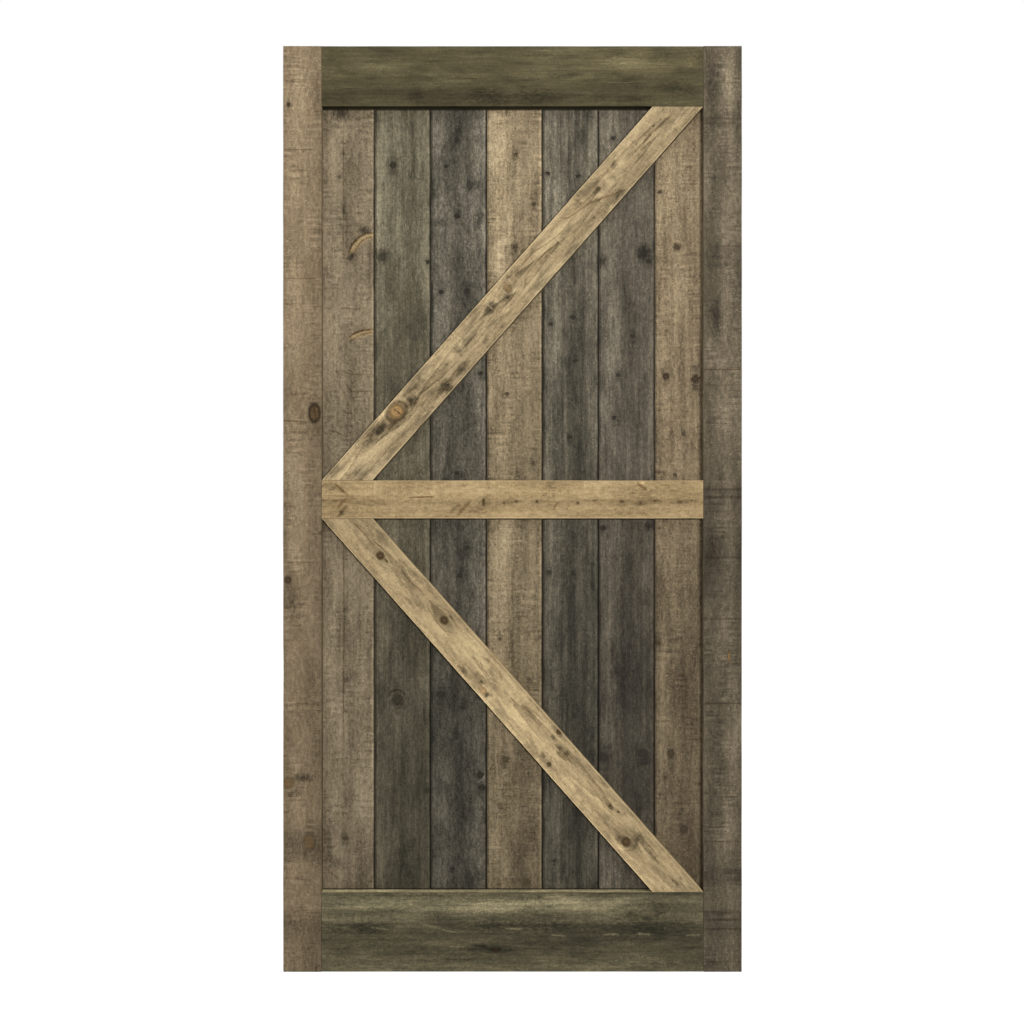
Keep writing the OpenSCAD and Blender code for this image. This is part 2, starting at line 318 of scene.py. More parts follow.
# Each board's colours, strengths of the wood's layers, tones and marks.
# Tones along a board stand at the photo's pixels, and tones across it at shares of its width.
# Marks stand at pixels too, but those of a brace stand along its middle line and beside it.
# A pith has its share of the width, its pixel, its depth there and how fast it sinks away from there.
LOOKS = {
    "left_stile": dict(
        pale=(164, 145, 117), mid=(129, 112, 87), dark=(86, 74, 56), seed=3, streak=0.35, fine=0.25,
        fleck=0.5, mottle=1.0, blotch=0.8, sawn=1.0, smoke=0.15, wear_and_light=0.1,
        along=[
            (46, 1.08), (300, 1.06), (420, 0.99), (500, 1.0), (600, 0.94), (700, 0.91), (770, 0.9),
            (800, 0.95), (822, 0.92), (832, 0.8), (858, 0.8), (866, 0.95), (908, 0.93), (916, 0.8),
            (936, 0.8), (948, 0.88), (972, 0.86),
        ],
        across=[(0, 0.97), (0.3, 1.04), (0.6, 1.0), (0.85, 0.92), (1, 0.9)],
        knots=[
            knot(288.5, 104.5, 2.4, 3.2, 0.8), knot(292, 106.5, 1.2, 1.4, 0.7),
            knot(314.4, 413, 5.6, 9.2, 1.0, 0.68), knot(288, 580, 4.5, 5, 0.8),
            knot(288.5, 783, 5.5, 5.5, 0.55, 0.76), knot(309, 842, 5.5, 8, 0.55, 0.71),
            knot(305, 854, 1.5, 3, 0.7),
        ],
        smudges=[
            smudge(290, 600, 8, 14, 0.5), smudge(317, 430, 5, 6, 0.4), smudge(303, 778, 15, 4, 0.62),
            smudge(294, 793, 8, 4, 0.5), smudge(300, 844, 20, 14, 0.35), smudge(300, 926, 20, 10, 0.3),
            smudge(315, 303, 5, 24, 0.25), smudge(293, 108, 2.5, 2.5, -0.6),
        ],
        cracks=[
            level(299, 318, 68, dark=0.35), level(298, 322, 79.5, dark=0.35),
            level(302, 319, 115, dark=0.35), level(284, 319, 149.6, width=1.1, dark=0.65),
            level(292, 310, 170, dark=0.25), level(284, 318, 278.4, width=1.1, dark=0.65),
            level(284, 308, 296, dark=0.3), crack((277, 420.2), (310, 422.2), width=1.3, dark=0.9),
            level(285, 318, 562.5, width=1.1, dark=0.5), level(288, 319, 693, dark=0.35),
            level(286, 318, 704, dark=0.4), level(304, 320, 913, width=1.1, dark=0.6),
        ],
        lines=[
            level(285, 318, 560, dark=-0.35),
            crack((313, 405), (314.6, 413), (316, 421), width=2.0, dark=0.6),
        ],
    ),
    "right_stile": dict(
        pale=(124, 112, 93), mid=(89, 80, 64), dark=(54, 48, 38), seed=5, streak=0.25, fine=0.25, fleck=0.5,
        mottle=0.95, blotch=1.1, sawn=1.0, smoke=0.28, wear_and_light=0.15,
        along=[
            (46, 1.1), (112, 1.1), (118, 0.95), (124, 0.95), (130, 1.06), (240, 1.06), (250, 0.98),
            (330, 1.1), (372, 1.17), (440, 1.08), (484, 0.95), (490, 0.85), (500, 0.85), (520, 0.9),
            (560, 0.8), (572, 0.83), (612, 0.93), (640, 1.0), (700, 0.98), (794, 1.03), (866, 1.01),
            (869, 0.86), (882, 0.86), (890, 0.98), (908, 0.96), (914, 0.85), (930, 0.84), (940, 0.93),
            (972, 0.92),
        ],
        across=[(0, 1.0), (0.25, 0.95), (0.45, 1.02), (0.6, 1.1), (0.8, 1.08), (1, 1.0)],
        knots=[knot(717, 247, 1.5, 1.5, 0.7), knot(729, 656, 1.4, 6.5, 0.45, 0.98)],
        smudges=[
            smudge(730, 82, 6, 45, -0.7), smudge(712, 80, 8, 40, 0.45), smudge(739, 108, 4, 14, 0.5),
            smudge(717, 320, 6, 24, 0.6), smudge(737, 328, 4, 8, 0.3), smudge(711, 545, 7, 24, 0.5),
        ],
        cracks=[
            level(698, 749, 118, width=2.0, dark=0.3), level(718, 742, 246, width=1.2, dark=0.6),
            level(698, 749, 369.5, width=1.4, dark=0.8), level(698, 749, 385, dark=0.5),
            level(698, 749, 398, dark=0.3), level(698, 749, 418.6, dark=0.3),
            level(698, 749, 489.4, width=3.0, dark=0.45), level(698, 749, 557.6, width=2.4, dark=0.55),
            level(698, 749, 619, width=2.8, dark=0.5), level(698, 749, 703.4, width=2.4, dark=0.55),
            level(698, 749, 793.6, dark=0.5), level(698, 749, 841.4, width=1.4, dark=0.5),
            level(698, 749, 912, width=3.0, dark=0.4), level(698, 749, 929, width=3.0, dark=0.5),
            level(698, 749, 962, width=2.0, dark=0.35),
        ],
        lines=[
            level(698, 749, 123, width=2.0, dark=0.3), level(698, 749, 497, width=4.0, dark=0.5),
            level(698, 749, 833, dark=-0.3), level(698, 749, 920, width=2.5, dark=0.45),
            crack((715, 512), (714, 522), dark=-0.5),
        ],
    ),
    "top_rail": dict(
        pale=(112, 104, 75), mid=(80, 73, 51), dark=(50, 45, 31), seed=7, streak=0.6, fine=0.45, fleck=0.25,
        mottle=0.4, blotch=0.8, sawn=0.1, smoke=0.3, wear_and_light=0.1,
        along=[(322, 1.0), (450, 1.0), (600, 1.03), (704, 1.07)],
        across=[(0, 1.04), (0.3, 1.09), (0.5, 1.05), (0.65, 0.97), (0.85, 0.9), (1, 0.93)], knots=[],
        smudges=[
            smudge(416, 95, 11, 9, 0.4), smudge(490, 96, 10, 26, 0.5), smudge(534, 95, 10, 26, 0.45),
            smudge(538, 55, 2.5, 20, 0.4), smudge(566, 76, 3, 20, 0.45), smudge(669, 55, 5, 8, 0.3),
            smudge(677, 88, 13, 22, 0.35), smudge(598, 96, 6, 11, 0.35), smudge(410, 60, 13, 23, 0.15),
            smudge(546, 50, 2, 14, -0.3), smudge(622, 61, 11, 30, -0.3), smudge(692, 62, 12, 11, -0.35),
            smudge(630, 103, 2, 60, -0.3),
        ],
        cracks=[
            crack((321.8, 75.4), (343.5, 79), (360, 79), dark=0.45),
            crack((443, 80.3), (458, 80.8), (474, 80.9), width=3.2, dark=-0.7),
            crack((601, 81.5), (623, 82.8), (652, 80.3), dark=-0.45),
        ],
        lines=[
            level(321, 328, 78.6, width=1.4, dark=-0.5),
            crack((445, 78.5), (460, 77.4), (478, 79), dark=0.5), level(455, 472, 83.6, dark=0.45),
            crack((610, 84), (650, 82), dark=0.3),
        ],
    ),
    "bottom_rail": dict(
        pale=(123, 114, 88), mid=(86, 80, 60), dark=(50, 49, 38), seed=11, streak=0.8, fine=0.5, fleck=0.55,
        mottle=0.8, blotch=0.8, sawn=0.4, smoke=0.3, wear_and_light=0.2,
        along=[(322, 1.06), (450, 1.02), (600, 1.0), (704, 0.93)],
        across=[
            (0, 1.0), (0.06, 1.05), (0.15, 1.26), (0.3, 1.05), (0.45, 0.9), (0.6, 0.87), (0.75, 0.9),
            (0.9, 1.03), (1, 1.1),
        ],
        knots=[
            knot(495.5, 949.5, 4, 6.5, 1.0), knot(483, 946, 1.8, 5, 0.9), knot(510.6, 950, 1.6, 2.4, 0.8),
            knot(646.4, 918.2, 1.8, 1.8, 0.95),
        ],
        smudges=[
            smudge(362, 930, 5, 10, 0.6), smudge(340, 930, 8, 20, 0.35), smudge(472, 949, 2, 16, 0.6),
            smudge(539, 897, 5, 3, 0.6), smudge(569, 897, 3.5, 10, 0.45), smudge(633, 914, 4, 9, 0.5),
            smudge(658, 912, 7, 9, 0.55), smudge(600, 932, 12, 60, 0.3), smudge(500, 928, 8, 30, 0.35),
            smudge(460, 909, 4, 58, -0.5), smudge(543, 904, 8, 34, -0.45), smudge(617, 903, 8, 38, -0.25),
            smudge(650, 906, 9, 50, 0.35), smudge(560, 945, 8, 60, 0.3), smudge(380, 904, 8, 60, -0.35),
            smudge(500, 906, 7, 60, -0.75), smudge(560, 902, 7, 30, -0.8), smudge(530, 926, 9, 70, 0.6),
            smudge(640, 927, 10, 60, 0.55), smudge(372, 929, 8, 24, 0.6), smudge(640, 962, 7, 50, -0.35),
            smudge(430, 895, 3, 50, 0.4),
        ],
        cracks=[
            # The first line runs dark along the rail's upper arris
            level(322, 704, 892.7, width=1.8, dark=0.7),
            crack((504, 928.4), (523, 929.2), width=2.4, dark=-0.65),
            crack((550, 935), (566, 936), width=2.0, dark=-0.65),
            crack((603, 934.8), (618, 934), width=2.4, dark=-0.65),
            crack((636, 933.6), (652, 934.8), width=2.6, dark=-0.65),
            crack((685, 935.6), (701, 934.8), width=2.2, dark=-0.6),
            crack((369, 927), (390, 930), width=2.2, dark=-0.45),
            crack((421, 924), (441, 928.6), width=2.8, dark=-0.55),
            crack((442, 930), (458, 933), width=2.2, dark=-0.5),
            crack((447, 946.4), (464, 947), width=2.4, dark=-0.5),
        ],
        lines=[
            crack((485, 948), (494, 950), (503, 949.5), width=4.4, dark=0.8),
            crack((472, 944), (482, 947), (490, 948.5), width=2.6, dark=0.6),
            crack((505, 950.6), (513, 950), width=2.0, dark=0.5),
        ],
    ),
    "mid_rail": dict(
        pale=(194, 169, 128), mid=(156, 134, 97), dark=(100, 82, 55), seed=13, streak=0.5, fine=0.2,
        fleck=0.4, mottle=0.85, blotch=0.8, sawn=0.4, rings=0.15, smoke=0.15, wear_and_light=0.5,
        along=[(322, 1.02), (512, 1.035), (704, 0.99)],
        across=[(0, 1.02), (0.4, 1.02), (0.6, 0.96), (0.8, 1.0), (1, 1.04)], pith=(0.5, 500, 30, 0.05),
        knots=[
            knot(483.5, 502.2, 5, 2, 0.7), knot(504, 503, 1.6, 2.4, 0.45), knot(516, 501.5, 1.8, 2.6, 0.5),
            knot(537, 501.5, 2.2, 2, 0.55), knot(578, 503, 2, 2.2, 0.5), knot(594.7, 500.5, 1.4, 3, 0.35),
            knot(622, 501.5, 2, 3, 0.5), knot(640.5, 503, 2, 2, 0.6), knot(654.7, 501, 1.6, 2.4, 0.45),
            knot(680, 502, 2, 3, 0.5), knot(692, 500.5, 1.4, 2.2, 0.4),
        ],
        smudges=[
            smudge(332.5, 488, 5, 5, 0.4), smudge(341.7, 513, 3, 3, 0.6), smudge(453, 508, 3, 3, 0.5),
            smudge(463, 507, 9, 17, 0.25), smudge(464, 485, 4, 6, 0.3), smudge(551, 487, 5, 7, 0.4),
            smudge(645, 495, 8, 14, 0.25), smudge(634, 494.5, 3, 3, 0.4), smudge(643, 483, 2, 3, -0.6),
        ],
        cracks=[
            crack((334.2, 483), (348.5, 496), width=3.8, dark=0.75),
            crack((407.5, 497.6), (435, 496.6), width=2.2, dark=0.85),
            crack((456, 517), (471.5, 499.5), width=5.0, dark=0.6),
            crack((637, 482.6), (647, 490.6), width=4.2, dark=0.75),
            crack((347.4, 504.5), (337.6, 517.3), width=4.5, dark=0.65),
        ],
        lines=[
            crack((348.4, 495.8), (336.7, 508), width=4.5, dark=0.6), level(323, 346, 495.5, dark=0.35),
            crack((449.6, 514), (461, 502), width=4.0, dark=0.35),
            crack((557.8, 501.6), (553.2, 510.4), width=3.2, dark=0.6),
            crack((500, 502), (700, 501), width=2.6, dark=0.16),
        ],
    ),
    "upper_brace": dict(
        middle=UPPER_LINE, pale=(191, 171, 132), mid=(151, 132, 100), dark=(88, 75, 51), seed=17,
        streak=0.7, fine=0.3, fleck=0.4, mottle=0.65, blotch=0.9, sawn=0.5, rings=0.45, smoke=0.5, wear_and_light=0.9,
        along=[(322, 1.1), (420, 1.08), (520, 1.1), (704, 1.02)],
        across=[(0, 1.06), (0.3, 1.02), (0.6, 0.97), (1, 0.98)], pith=(0.45, 470, 26, 0.045),
        knots=[
            knot(85, -9.2, 8, 8.5, 0.46, 1.0), knot(251, -8.5, 5, 3.5, 0.45, 0.85),
            knot(384.6, -6.8, 1.6, 1.5, 0.8), knot(361, 9, 1, 2, 0.6), knot(218, 13, 1.2, 1.5, 0.6),
        ],
        smudges=[
            smudge(60, -9.5, 4, 8, 1.1), smudge(46, -8.5, 6, 13, 0.6), smudge(70, -10, 6, 5, 0.4),
            smudge(104, -4, 7, 8, 0.65), smudge(119, -11, 7, 18, 0.5), smudge(137, 12, 8, 8, 0.8),
            smudge(172, -4, 8, 6, 0.55), smudge(160, 10, 6, 9, 0.58), smudge(204, -4, 2, 7, 0.5),
            smudge(182, -2, 13, 20, 0.3), smudge(115, -5, 11, 20, 0.3), smudge(224, -8, 5, 9, 1.0),
            smudge(245, -2.5, 4.5, 6, 0.65), smudge(260, -16, 3, 10, 0.5), smudge(265, 1, 5, 6, 0.35),
            smudge(414, -11, 4, 5, 0.6), smudge(405, -3, 7, 5, 0.35), smudge(394, 13.5, 4, 11, 0.6),
            # The first of these is a painted highlight: a pale streak along the brace's upper edge
            smudge(68, -17, 1.5, 8, -0.8), smudge(234, 6, 2, 5, -0.5),
        ],
        cracks=[
            crack((84.7, -13.5), (85.5, -3.5), width=1.4, dark=0.85),
            crack((273, -13.5), (297, -12.7), (307, -9.3), (320, -6.5), (343, -4.3), width=2.2, dark=0.5),
            crack((433, -4.3), (467, -3.5), (493, -0.4), width=2.2, dark=0.6),
        ],
        lines=[
            crack((93, -16), (96.5, -9.5), (95, -2.7), width=3.0, dark=0.8),
            crack((338, -16), (343, -10), (353, -7.3), (367, -4.3), (380, 2.3), (393, 9), (407, 15.7),
                  width=2.4, dark=0.6),
            crack((263, 4), (272, -2.7), (290, -4.3), (305, -3.5), (330, 2.3), (360, 8), width=2.2,
                  dark=0.42),
            crack((436, -7), (466, -6.2), (492, -3.4), width=1.4, dark=-0.5),
            crack((467, -16), (467, -7), width=1.4, dark=-0.5),
            crack((225, -16), (225.5, -5), width=1.4, dark=-0.7),
            crack((98, -1), (104, -8), width=1.6, dark=0.6),
            crack((103, 1), (110, -7), width=1.6, dark=0.5),
            crack((132, 9), (136, 17), width=1.8, dark=0.6),
            crack((137, 7), (142, 17), width=1.8, dark=0.6),
        ],
    ),
    "lower_brace": dict(
        middle=LOWER_LINE, pale=(197, 175, 132), mid=(157, 137, 103), dark=(96, 81, 55), seed=19,
        streak=0.7, fine=0.3, fleck=0.4, mottle=0.65, blotch=0.9, sawn=0.4, rings=0.4, smoke=0.4, wear_and_light=0.9,
        along=[(322, 0.96), (420, 1.05), (540, 1.13), (704, 0.97)],
        across=[(0, 1.0), (0.35, 0.95), (0.6, 1.03), (1, 1.06)], pith=(0.38, 560, 24, 0.05),
        knots=[
            knot(50.3, 0.2, 4.6, 5, 0.95), knot(58, -1, 1.5, 3, 0.6), knot(141, -4.7, 4.6, 5.5, 0.95),
            knot(300.8, -16.5, 3, 3.5, 0.95), knot(390, -5.5, 2, 2, 0.95), knot(400, -7.7, 1.6, 1.8, 0.7),
            knot(427.5, 6.4, 5.6, 6.4, 0.8), knot(219, 13, 3, 4.5, 0.35, 1.0),
            knot(318.5, 12.5, 2.6, 3, 0.75),
        ],
        smudges=[
            smudge(192, 14, 3, 4.5, 0.75), smudge(212, 9, 2.5, 3, 0.7), smudge(225, 13, 3, 2.5, 0.85),
            smudge(228, 10, 2, 2, 0.6), smudge(301, -8.5, 2.5, 4, 0.65), smudge(314, -7.7, 2.5, 4, 0.65),
            smudge(322, -8.5, 2, 3, 0.6), smudge(307.5, 12, 3.5, 4, 0.65), smudge(312, 12, 7, 14, 0.35),
            smudge(433, -5.5, 7, 7, 0.55), smudge(436, 3, 4, 4, 0.6), smudge(420, 9, 4, 4, 0.6),
            smudge(428, 14, 3, 5, -0.5), smudge(490, -3.5, 3, 8, 0.4), smudge(413, 7, 3, 5, 0.4),
        ],
        cracks=[
            crack((3, -1.7), (23, -2.5), (42, -1.7), width=1.8, dark=0.6),
            crack((71, -9), (78, -6), (90, -5), (107, -7.5), width=2.2, dark=0.62),
            crack((114, -6.5), (127, -11), (138, -12.5), (160, -9), width=1.9, dark=0.45),
            crack((190, -8), (200, -11), (215, -12), (227, -7), width=1.9, dark=0.45),
            crack((258, -8.5), (268, -11), (284, -12.7), width=1.9, dark=0.45),
            crack((350, -7.5), (367, -10), (384, -9), width=1.9, dark=0.45),
            crack((431, -5), (437, 0), (438, 7), (434, 13), width=2.0, dark=0.55),
            crack((478, -2.5), (497, -3.5), width=2.0, dark=0.5),
        ],
        lines=[
            crack((115, -5), (123, 0), (133, 2.5), (150, 1.7), (162, -7.7), width=1.9, dark=0.42),
            crack((191, -7), (201, -2), (214, -0.5), (226, -4), width=1.9, dark=0.4),
            crack((258, -8.5), (270, -6), (286, -6), width=1.9, dark=0.4),
            crack((352, -6), (371, -4), (387, -1), (405, -2), width=1.9, dark=0.42),
            crack((443, -8.5), (463, -7), width=1.8, dark=0.4),
            crack((70, 0), (84, 1.7), (100, 0.8), width=2.2, dark=0.3),
            crack((72, -11.5), (84, -8.5), (106, -10.5), width=1.3, dark=-0.5),
        ],
    ),
    "plank_1": dict(
        pale=(150, 135, 110), mid=(118, 105, 84), dark=(78, 69, 53), seed=23, streak=0.65, fine=0.35,
        fleck=0.95, mottle=1.1, blotch=1.0, sawn=1.0, smoke=0.15, ragged=1.0, edge_highlight=0.16,
        along=[(107, 1.04), (400, 1.04), (440, 0.94), (520, 0.97), (700, 1.0), (800, 0.98), (890, 0.87)],
        across=[(0, 0.97), (0.3, 1.06), (0.45, 0.99), (0.6, 1.0), (0.8, 1.03), (1, 1.02)],
        knots=[
            knot(343, 153, 2, 1.6, 0.7), knot(339, 177, 2, 1.6, 0.7), knot(344, 210, 2, 1.6, 0.7),
            knot(340, 224, 1.8, 1.4, 0.6), knot(345.5, 609, 2, 1.6, 0.7), knot(346, 681, dark=0.5),
            knot(346, 711, 2.5, 2, 0.5), knot(345.2, 838.2, 4, 3, 0.95),
        ],
        smudges=[
            smudge(341, 113, 10, 8, 0.85), smudge(328, 850, 6, 30, 0.4), smudge(336, 862, 9, 6, 0.5),
            smudge(352, 674, 8, 7, 0.3), smudge(351, 257, 4, 6, 0.8), smudge(364, 230, 6, 4, 0.9),
            smudge(352, 341, 4, 4, 0.5), smudge(369, 190, 4, 4, 0.4),
        ],
        cracks=[
            crack((343.5, 120), (343, 260), width=1.2, dark=0.6),
            crack((343.6, 535), (344, 630), (343.2, 750), width=1.6, dark=0.75),
            crack((348.5, 254), (351.5, 245), (358.6, 237.2), (366.2, 233), (376, 233), width=2.8, dark=1.0,
                  tear=7),
            crack((351, 258), (355.7, 252), width=1.6, dark=0.7),
            crack((368.3, 244.4), (372, 242.3), dark=0.7),
            crack((349, 338), (351.5, 334.7), (357.8, 331.8), (364, 330.1), (376, 329), width=2.6, dark=1.0,
                  tear=6),
            crack((359.5, 339.5), (364.5, 338), dark=0.6), level(368, 372.5, 335.6, dark=0.6),
            crack((337.4, 875.9), (328.5, 867.5), width=0.8, dark=-0.4),
            crack((326.4, 869), (336.5, 878), dark=0.9), crack((348, 651), (354, 652), width=1.2, dark=0.5),
            crack((339, 309), (345, 308), (355, 309.4), (364, 308), width=2.0, dark=0.6),
            crack((341, 370), (351, 374.4), (366, 374), width=2.6, dark=0.6),
            crack((345, 382), (348, 388), (352, 391.4), (377, 391), width=2.2, dark=0.6),
            crack((343, 410.5), (348, 413.5), (353, 413), width=2.0, dark=0.75),
            crack((328, 430), (336, 432), (342, 435), width=2.6, dark=0.75),
        ],
        lines=[
            crack((352.5, 256), (355, 249.5), (361, 241.5), (367.5, 237.5), (374, 236.5), width=2.0,
                  dark=0.8),
            crack((352, 341), (355, 337.5), (360, 335), (366, 333.5), (374, 332.5), width=1.8, dark=0.7),
            crack((341, 545), (341.4, 630), (340.6, 740), width=1.6, dark=-0.35),
        ],
    ),
    "plank_2": dict(
        pale=(120, 112, 92), mid=(86, 80, 64), dark=(52, 49, 39), seed=29, streak=0.8, fine=0.5, fleck=1.0,
        mottle=0.85, blotch=0.9, sawn=0.3, smoke=0.35, ragged=1.0, edge_highlight=0.08,
        along=[
            (107, 1.21), (230, 1.28), (320, 1.1), (360, 1.0), (450, 1.1), (530, 1.1), (590, 0.89),
            (700, 0.89), (890, 0.83),
        ],
        across=[(0, 1.05), (0.3, 1.03), (0.6, 0.93), (0.75, 0.93), (0.9, 1.04), (1, 1.07)],
        knots=[
            knot(393, 165, 4, 4, 0.85), knot(428, 262, dark=0.8), knot(397.4, 700.7, 5.4, 6, 0.9),
            knot(427, 790.5, 3.5, 2.8, 0.8),
        ],
        smudges=[
            smudge(414, 180, 4, 60, 0.35), smudge(400, 650, 12, 40, 0.3), smudge(404, 830, 8, 60, 0.25),
            smudge(382, 256, 8, 8, 0.85),
        ],
        cracks=[
            crack((417, 113), (417.5, 127), width=1.4, dark=-0.6),
            crack((394, 163), (399, 158), (405, 156), (412, 158.5), width=1.6, dark=0.5),
            crack((388.5, 697), (391, 692), (397, 689.5), (403, 692), (405.5, 697), width=1.8, dark=0.9),
        ],
        lines=[
            crack((391.6, 703), (392.4, 697), (397.2, 694.2), (402.2, 697), (403.3, 703), (401, 707),
                  (397, 708.6), (393.5, 707), width=1.5, dark=0.8),
        ],
    ),
    "plank_3": dict(
        pale=(113, 106, 92), mid=(78, 73, 62), dark=(43, 41, 35), seed=31, streak=0.6, fine=0.4, fleck=1.1,
        mottle=1.15, blotch=1.0, sawn=0.3, smoke=0.45, ragged=1.0, edge_highlight=0.18,
        along=[(107, 1.17), (200, 1.2), (380, 1.15), (460, 1.05), (600, 1.03), (660, 0.89), (890, 0.92)],
        across=[(0, 1.0), (0.25, 1.04), (0.45, 0.92), (0.55, 0.9), (0.75, 1.0), (0.9, 1.12), (1, 1.1)],
        knots=[
            knot(459, 130, dark=0.8), knot(456, 142, 2.5, 2, 0.7), knot(446, 166),
            knot(457, 216, 3.4, 3.2, 0.8), knot(467, 290, 3.5, 2.8, 0.7), knot(441, 292), knot(480.6, 373),
            knot(457, 473), knot(467, 548, 3.5, 2.8, 0.6), knot(459, 576), knot(441, 694.5, 4.5, 5, 0.6),
            knot(462.4, 707.5, dark=0.75), knot(456, 733, 3.2, 2.6, 0.8), knot(480, 775, 4.5, 4, 0.85),
            knot(482, 787.5, 5, 3.5, 0.9), knot(452.4, 868.6, dark=0.85),
        ],
        smudges=[
            smudge(462, 205, 14, 18, 0.35), smudge(455, 700, 10, 60, 0.25), smudge(457, 860, 7, 12, 0.4),
            smudge(470, 185, 6, 7, 0.75), smudge(441, 222, 8, 6, 0.5), smudge(480, 217, 5, 7, 0.6),
        ],
        cracks=[
            crack((477, 783), (485, 778), width=1.6, dark=-0.7),
            crack((478.6, 741), (478.8, 745), width=2.0, dark=-0.8),
            crack((470, 864), (471, 870), width=1.8, dark=-0.7),
            crack((434, 664), (436, 669), width=1.8, dark=-0.6),
        ],
    ),
    "plank_4": dict(
        pale=(156, 139, 110), mid=(121, 107, 83), dark=(78, 67, 50), seed=37, streak=0.6, fine=0.35,
        fleck=0.95, mottle=1.1, blotch=1.1, sawn=1.1, smoke=0.15, ragged=1.0, edge_highlight=0.25,
        along=[
            (107, 1.17), (220, 1.18), (310, 1.1), (380, 1.1), (460, 1.0), (540, 1.04), (600, 1.0),
            (700, 0.93), (890, 0.83),
        ],
        across=[(0, 1.05), (0.2, 1.12), (0.4, 1.09), (0.5, 0.98), (0.65, 0.95), (1, 0.95)],
        knots=[
            knot(516, 154), knot(533.6, 204), knot(515, 247), knot(507, 394, dark=0.6),
            knot(533, 463, dark=0.6), knot(500, 639, 2.4, 1.9, 0.75), knot(518, 600, 2, 1.6, 0.6),
            knot(529, 679, dark=0.5), knot(505.5, 759.8, 4.5, 4.5, 0.7), knot(499.7, 804.6, 4, 3.2, 0.35),
            knot(526.5, 882, 5, 4, 0.7), knot(499, 884.5, 2, 1.6, 0.7),
        ],
        smudges=[smudge(510, 880, 20, 5, 0.3), smudge(525, 820, 12, 50, 0.2)],
        cracks=[crack((512, 525), (512, 590), width=0.8, dark=0.3)],
    ),
    "plank_5": dict(
        pale=(117, 109, 92), mid=(80, 75, 63), dark=(44, 42, 35), seed=41, streak=1.0, fine=0.6, fleck=0.9,
        mottle=0.85, blotch=0.8, sawn=0.3, smoke=0.4, ragged=1.0, edge_highlight=0.06,
        along=[
            (107, 1.2), (230, 1.3), (300, 1.15), (380, 1.1), (460, 1.05), (540, 1.0), (600, 0.9),
            (680, 0.85), (890, 0.87),
        ],
        across=[(0, 1.1), (0.2, 1.15), (0.35, 1.02), (0.5, 0.9), (0.65, 0.86), (0.8, 0.97), (1, 1.11)],
        knots=[
            knot(548, 173), knot(578, 176), knot(573, 317, 3.5, 2.8, 0.7), knot(551, 324, dark=0.6),
            knot(575, 361), knot(570, 437), knot(573, 574.2, 3.5, 2, 0.7), knot(549, 572.5, 3.5, 3, 0.45),
            knot(574, 715.5, 2, 1.6, 0.7), knot(554, 861.2, 2.2, 1.8, 0.7),
        ],
        smudges=[smudge(576, 872, 10, 6, 0.4), smudge(592, 756, 7, 8, 0.5), smudge(573, 240, 6, 80, 0.3)],
        cracks=[
            crack((560.8, 107), (560.8, 190), width=1.2, dark=0.5),
            crack((569.2, 107), (568.5, 165), width=1.0, dark=0.5),
        ],
        lines=[crack((565, 107), (566, 150), width=3.0, dark=-0.4)],
    ),
    "plank_6": dict(
        pale=(118, 110, 94), mid=(84, 77, 65), dark=(48, 45, 38), seed=43, streak=0.8, fine=0.5, fleck=0.9,
        mottle=0.95, blotch=0.8, sawn=0.3, smoke=0.35, ragged=1.0, edge_highlight=0.05, seam=1.5,
        along=[
            (107, 1.28), (200, 1.1), (300, 1.13), (400, 1.1), (450, 1.08), (530, 0.98), (600, 0.87),
            (700, 0.8), (800, 0.78), (860, 0.95), (890, 1.0),
        ],
        across=[(0, 1.06), (0.2, 1.13), (0.35, 1.02), (0.45, 0.9), (0.7, 0.93), (1, 1.02)],
        knots=[
            knot(613, 138), knot(649, 261, 3.4, 3, 0.8), knot(632.7, 336), knot(618, 375, dark=0.6),
            knot(614, 418), knot(617, 672, 3.4, 2.7, 0.85), knot(604, 757.5, 6, 5, 0.65),
            knot(642.7, 753.5, 6, 5, 0.85), knot(609, 748, 2, 1.6, 0.7), knot(603, 528, 4, 3.2, 0.7),
        ],
        smudges=[
            smudge(643, 253, 8, 10, 0.95), smudge(603, 261, 5, 7, 0.8), smudge(623, 640, 3, 110, 0.4),
            smudge(648, 526, 6, 5, 0.6), smudge(646, 760, 8, 8, 0.5),
        ],
        cracks=[],
    ),
    "plank_7": dict(
        pale=(146, 129, 102), mid=(112, 98, 76), dark=(70, 59, 44), seed=47, streak=0.65, fine=0.35,
        fleck=0.95, mottle=1.1, blotch=1.0, sawn=1.0, smoke=0.18, ragged=1.0,
        along=[
            (107, 1.18), (300, 1.13), (380, 1.07), (460, 1.1), (530, 1.02), (600, 0.9), (700, 0.86),
            (800, 0.87), (890, 0.77),
        ],
        across=[(0, 1.04), (0.25, 1.08), (0.5, 1.0), (0.75, 1.0), (1, 0.97)],
        knots=[
            knot(660, 192), knot(677, 247, 4.5, 4, 0.6), knot(666, 376.5, 4, 4.4, 0.9),
            knot(695.5, 379, 4.6, 5, 0.95), knot(683.6, 434, dark=0.6), knot(675, 475, dark=0.6),
            knot(657.5, 643, 3.5, 2.8, 0.9), knot(670.8, 753.8, 4, 5, 0.75, 0.4),
            knot(665.3, 777.5, dark=0.55), knot(683.8, 829.2, 5, 5, 0.65, 0.4),
        ],
        smudges=[smudge(663, 372, 3, 3, 0.5), smudge(695, 387, 5, 3, 0.6), smudge(694, 368, 4, 4, 0.4)],
        cracks=[
            crack((676, 363), (676.6, 372), (675.6, 383), width=2.4, dark=-0.5),
            crack((659, 381), (663, 384), (669, 383.5), (672, 379), width=1.6, dark=0.4),
        ],
        lines=[crack((679, 364), (679.6, 373), (678, 384), width=1.4, dark=0.4)],
    ),
}

# The planks behind the stiles show only at the door's edges and back
for edge_name, edge_seed in (("left_edge_plank", 53), ("right_edge_plank", 59)):
    LOOKS[edge_name] = dict(
        LOOKS["plank_1"], seed=edge_seed, along=[(46, 1.0), (972, 0.9)], across=[(0, 1.0), (1, 1.0)],
        knots=[], smudges=[], cracks=[],
    )


# Boards as grids of points

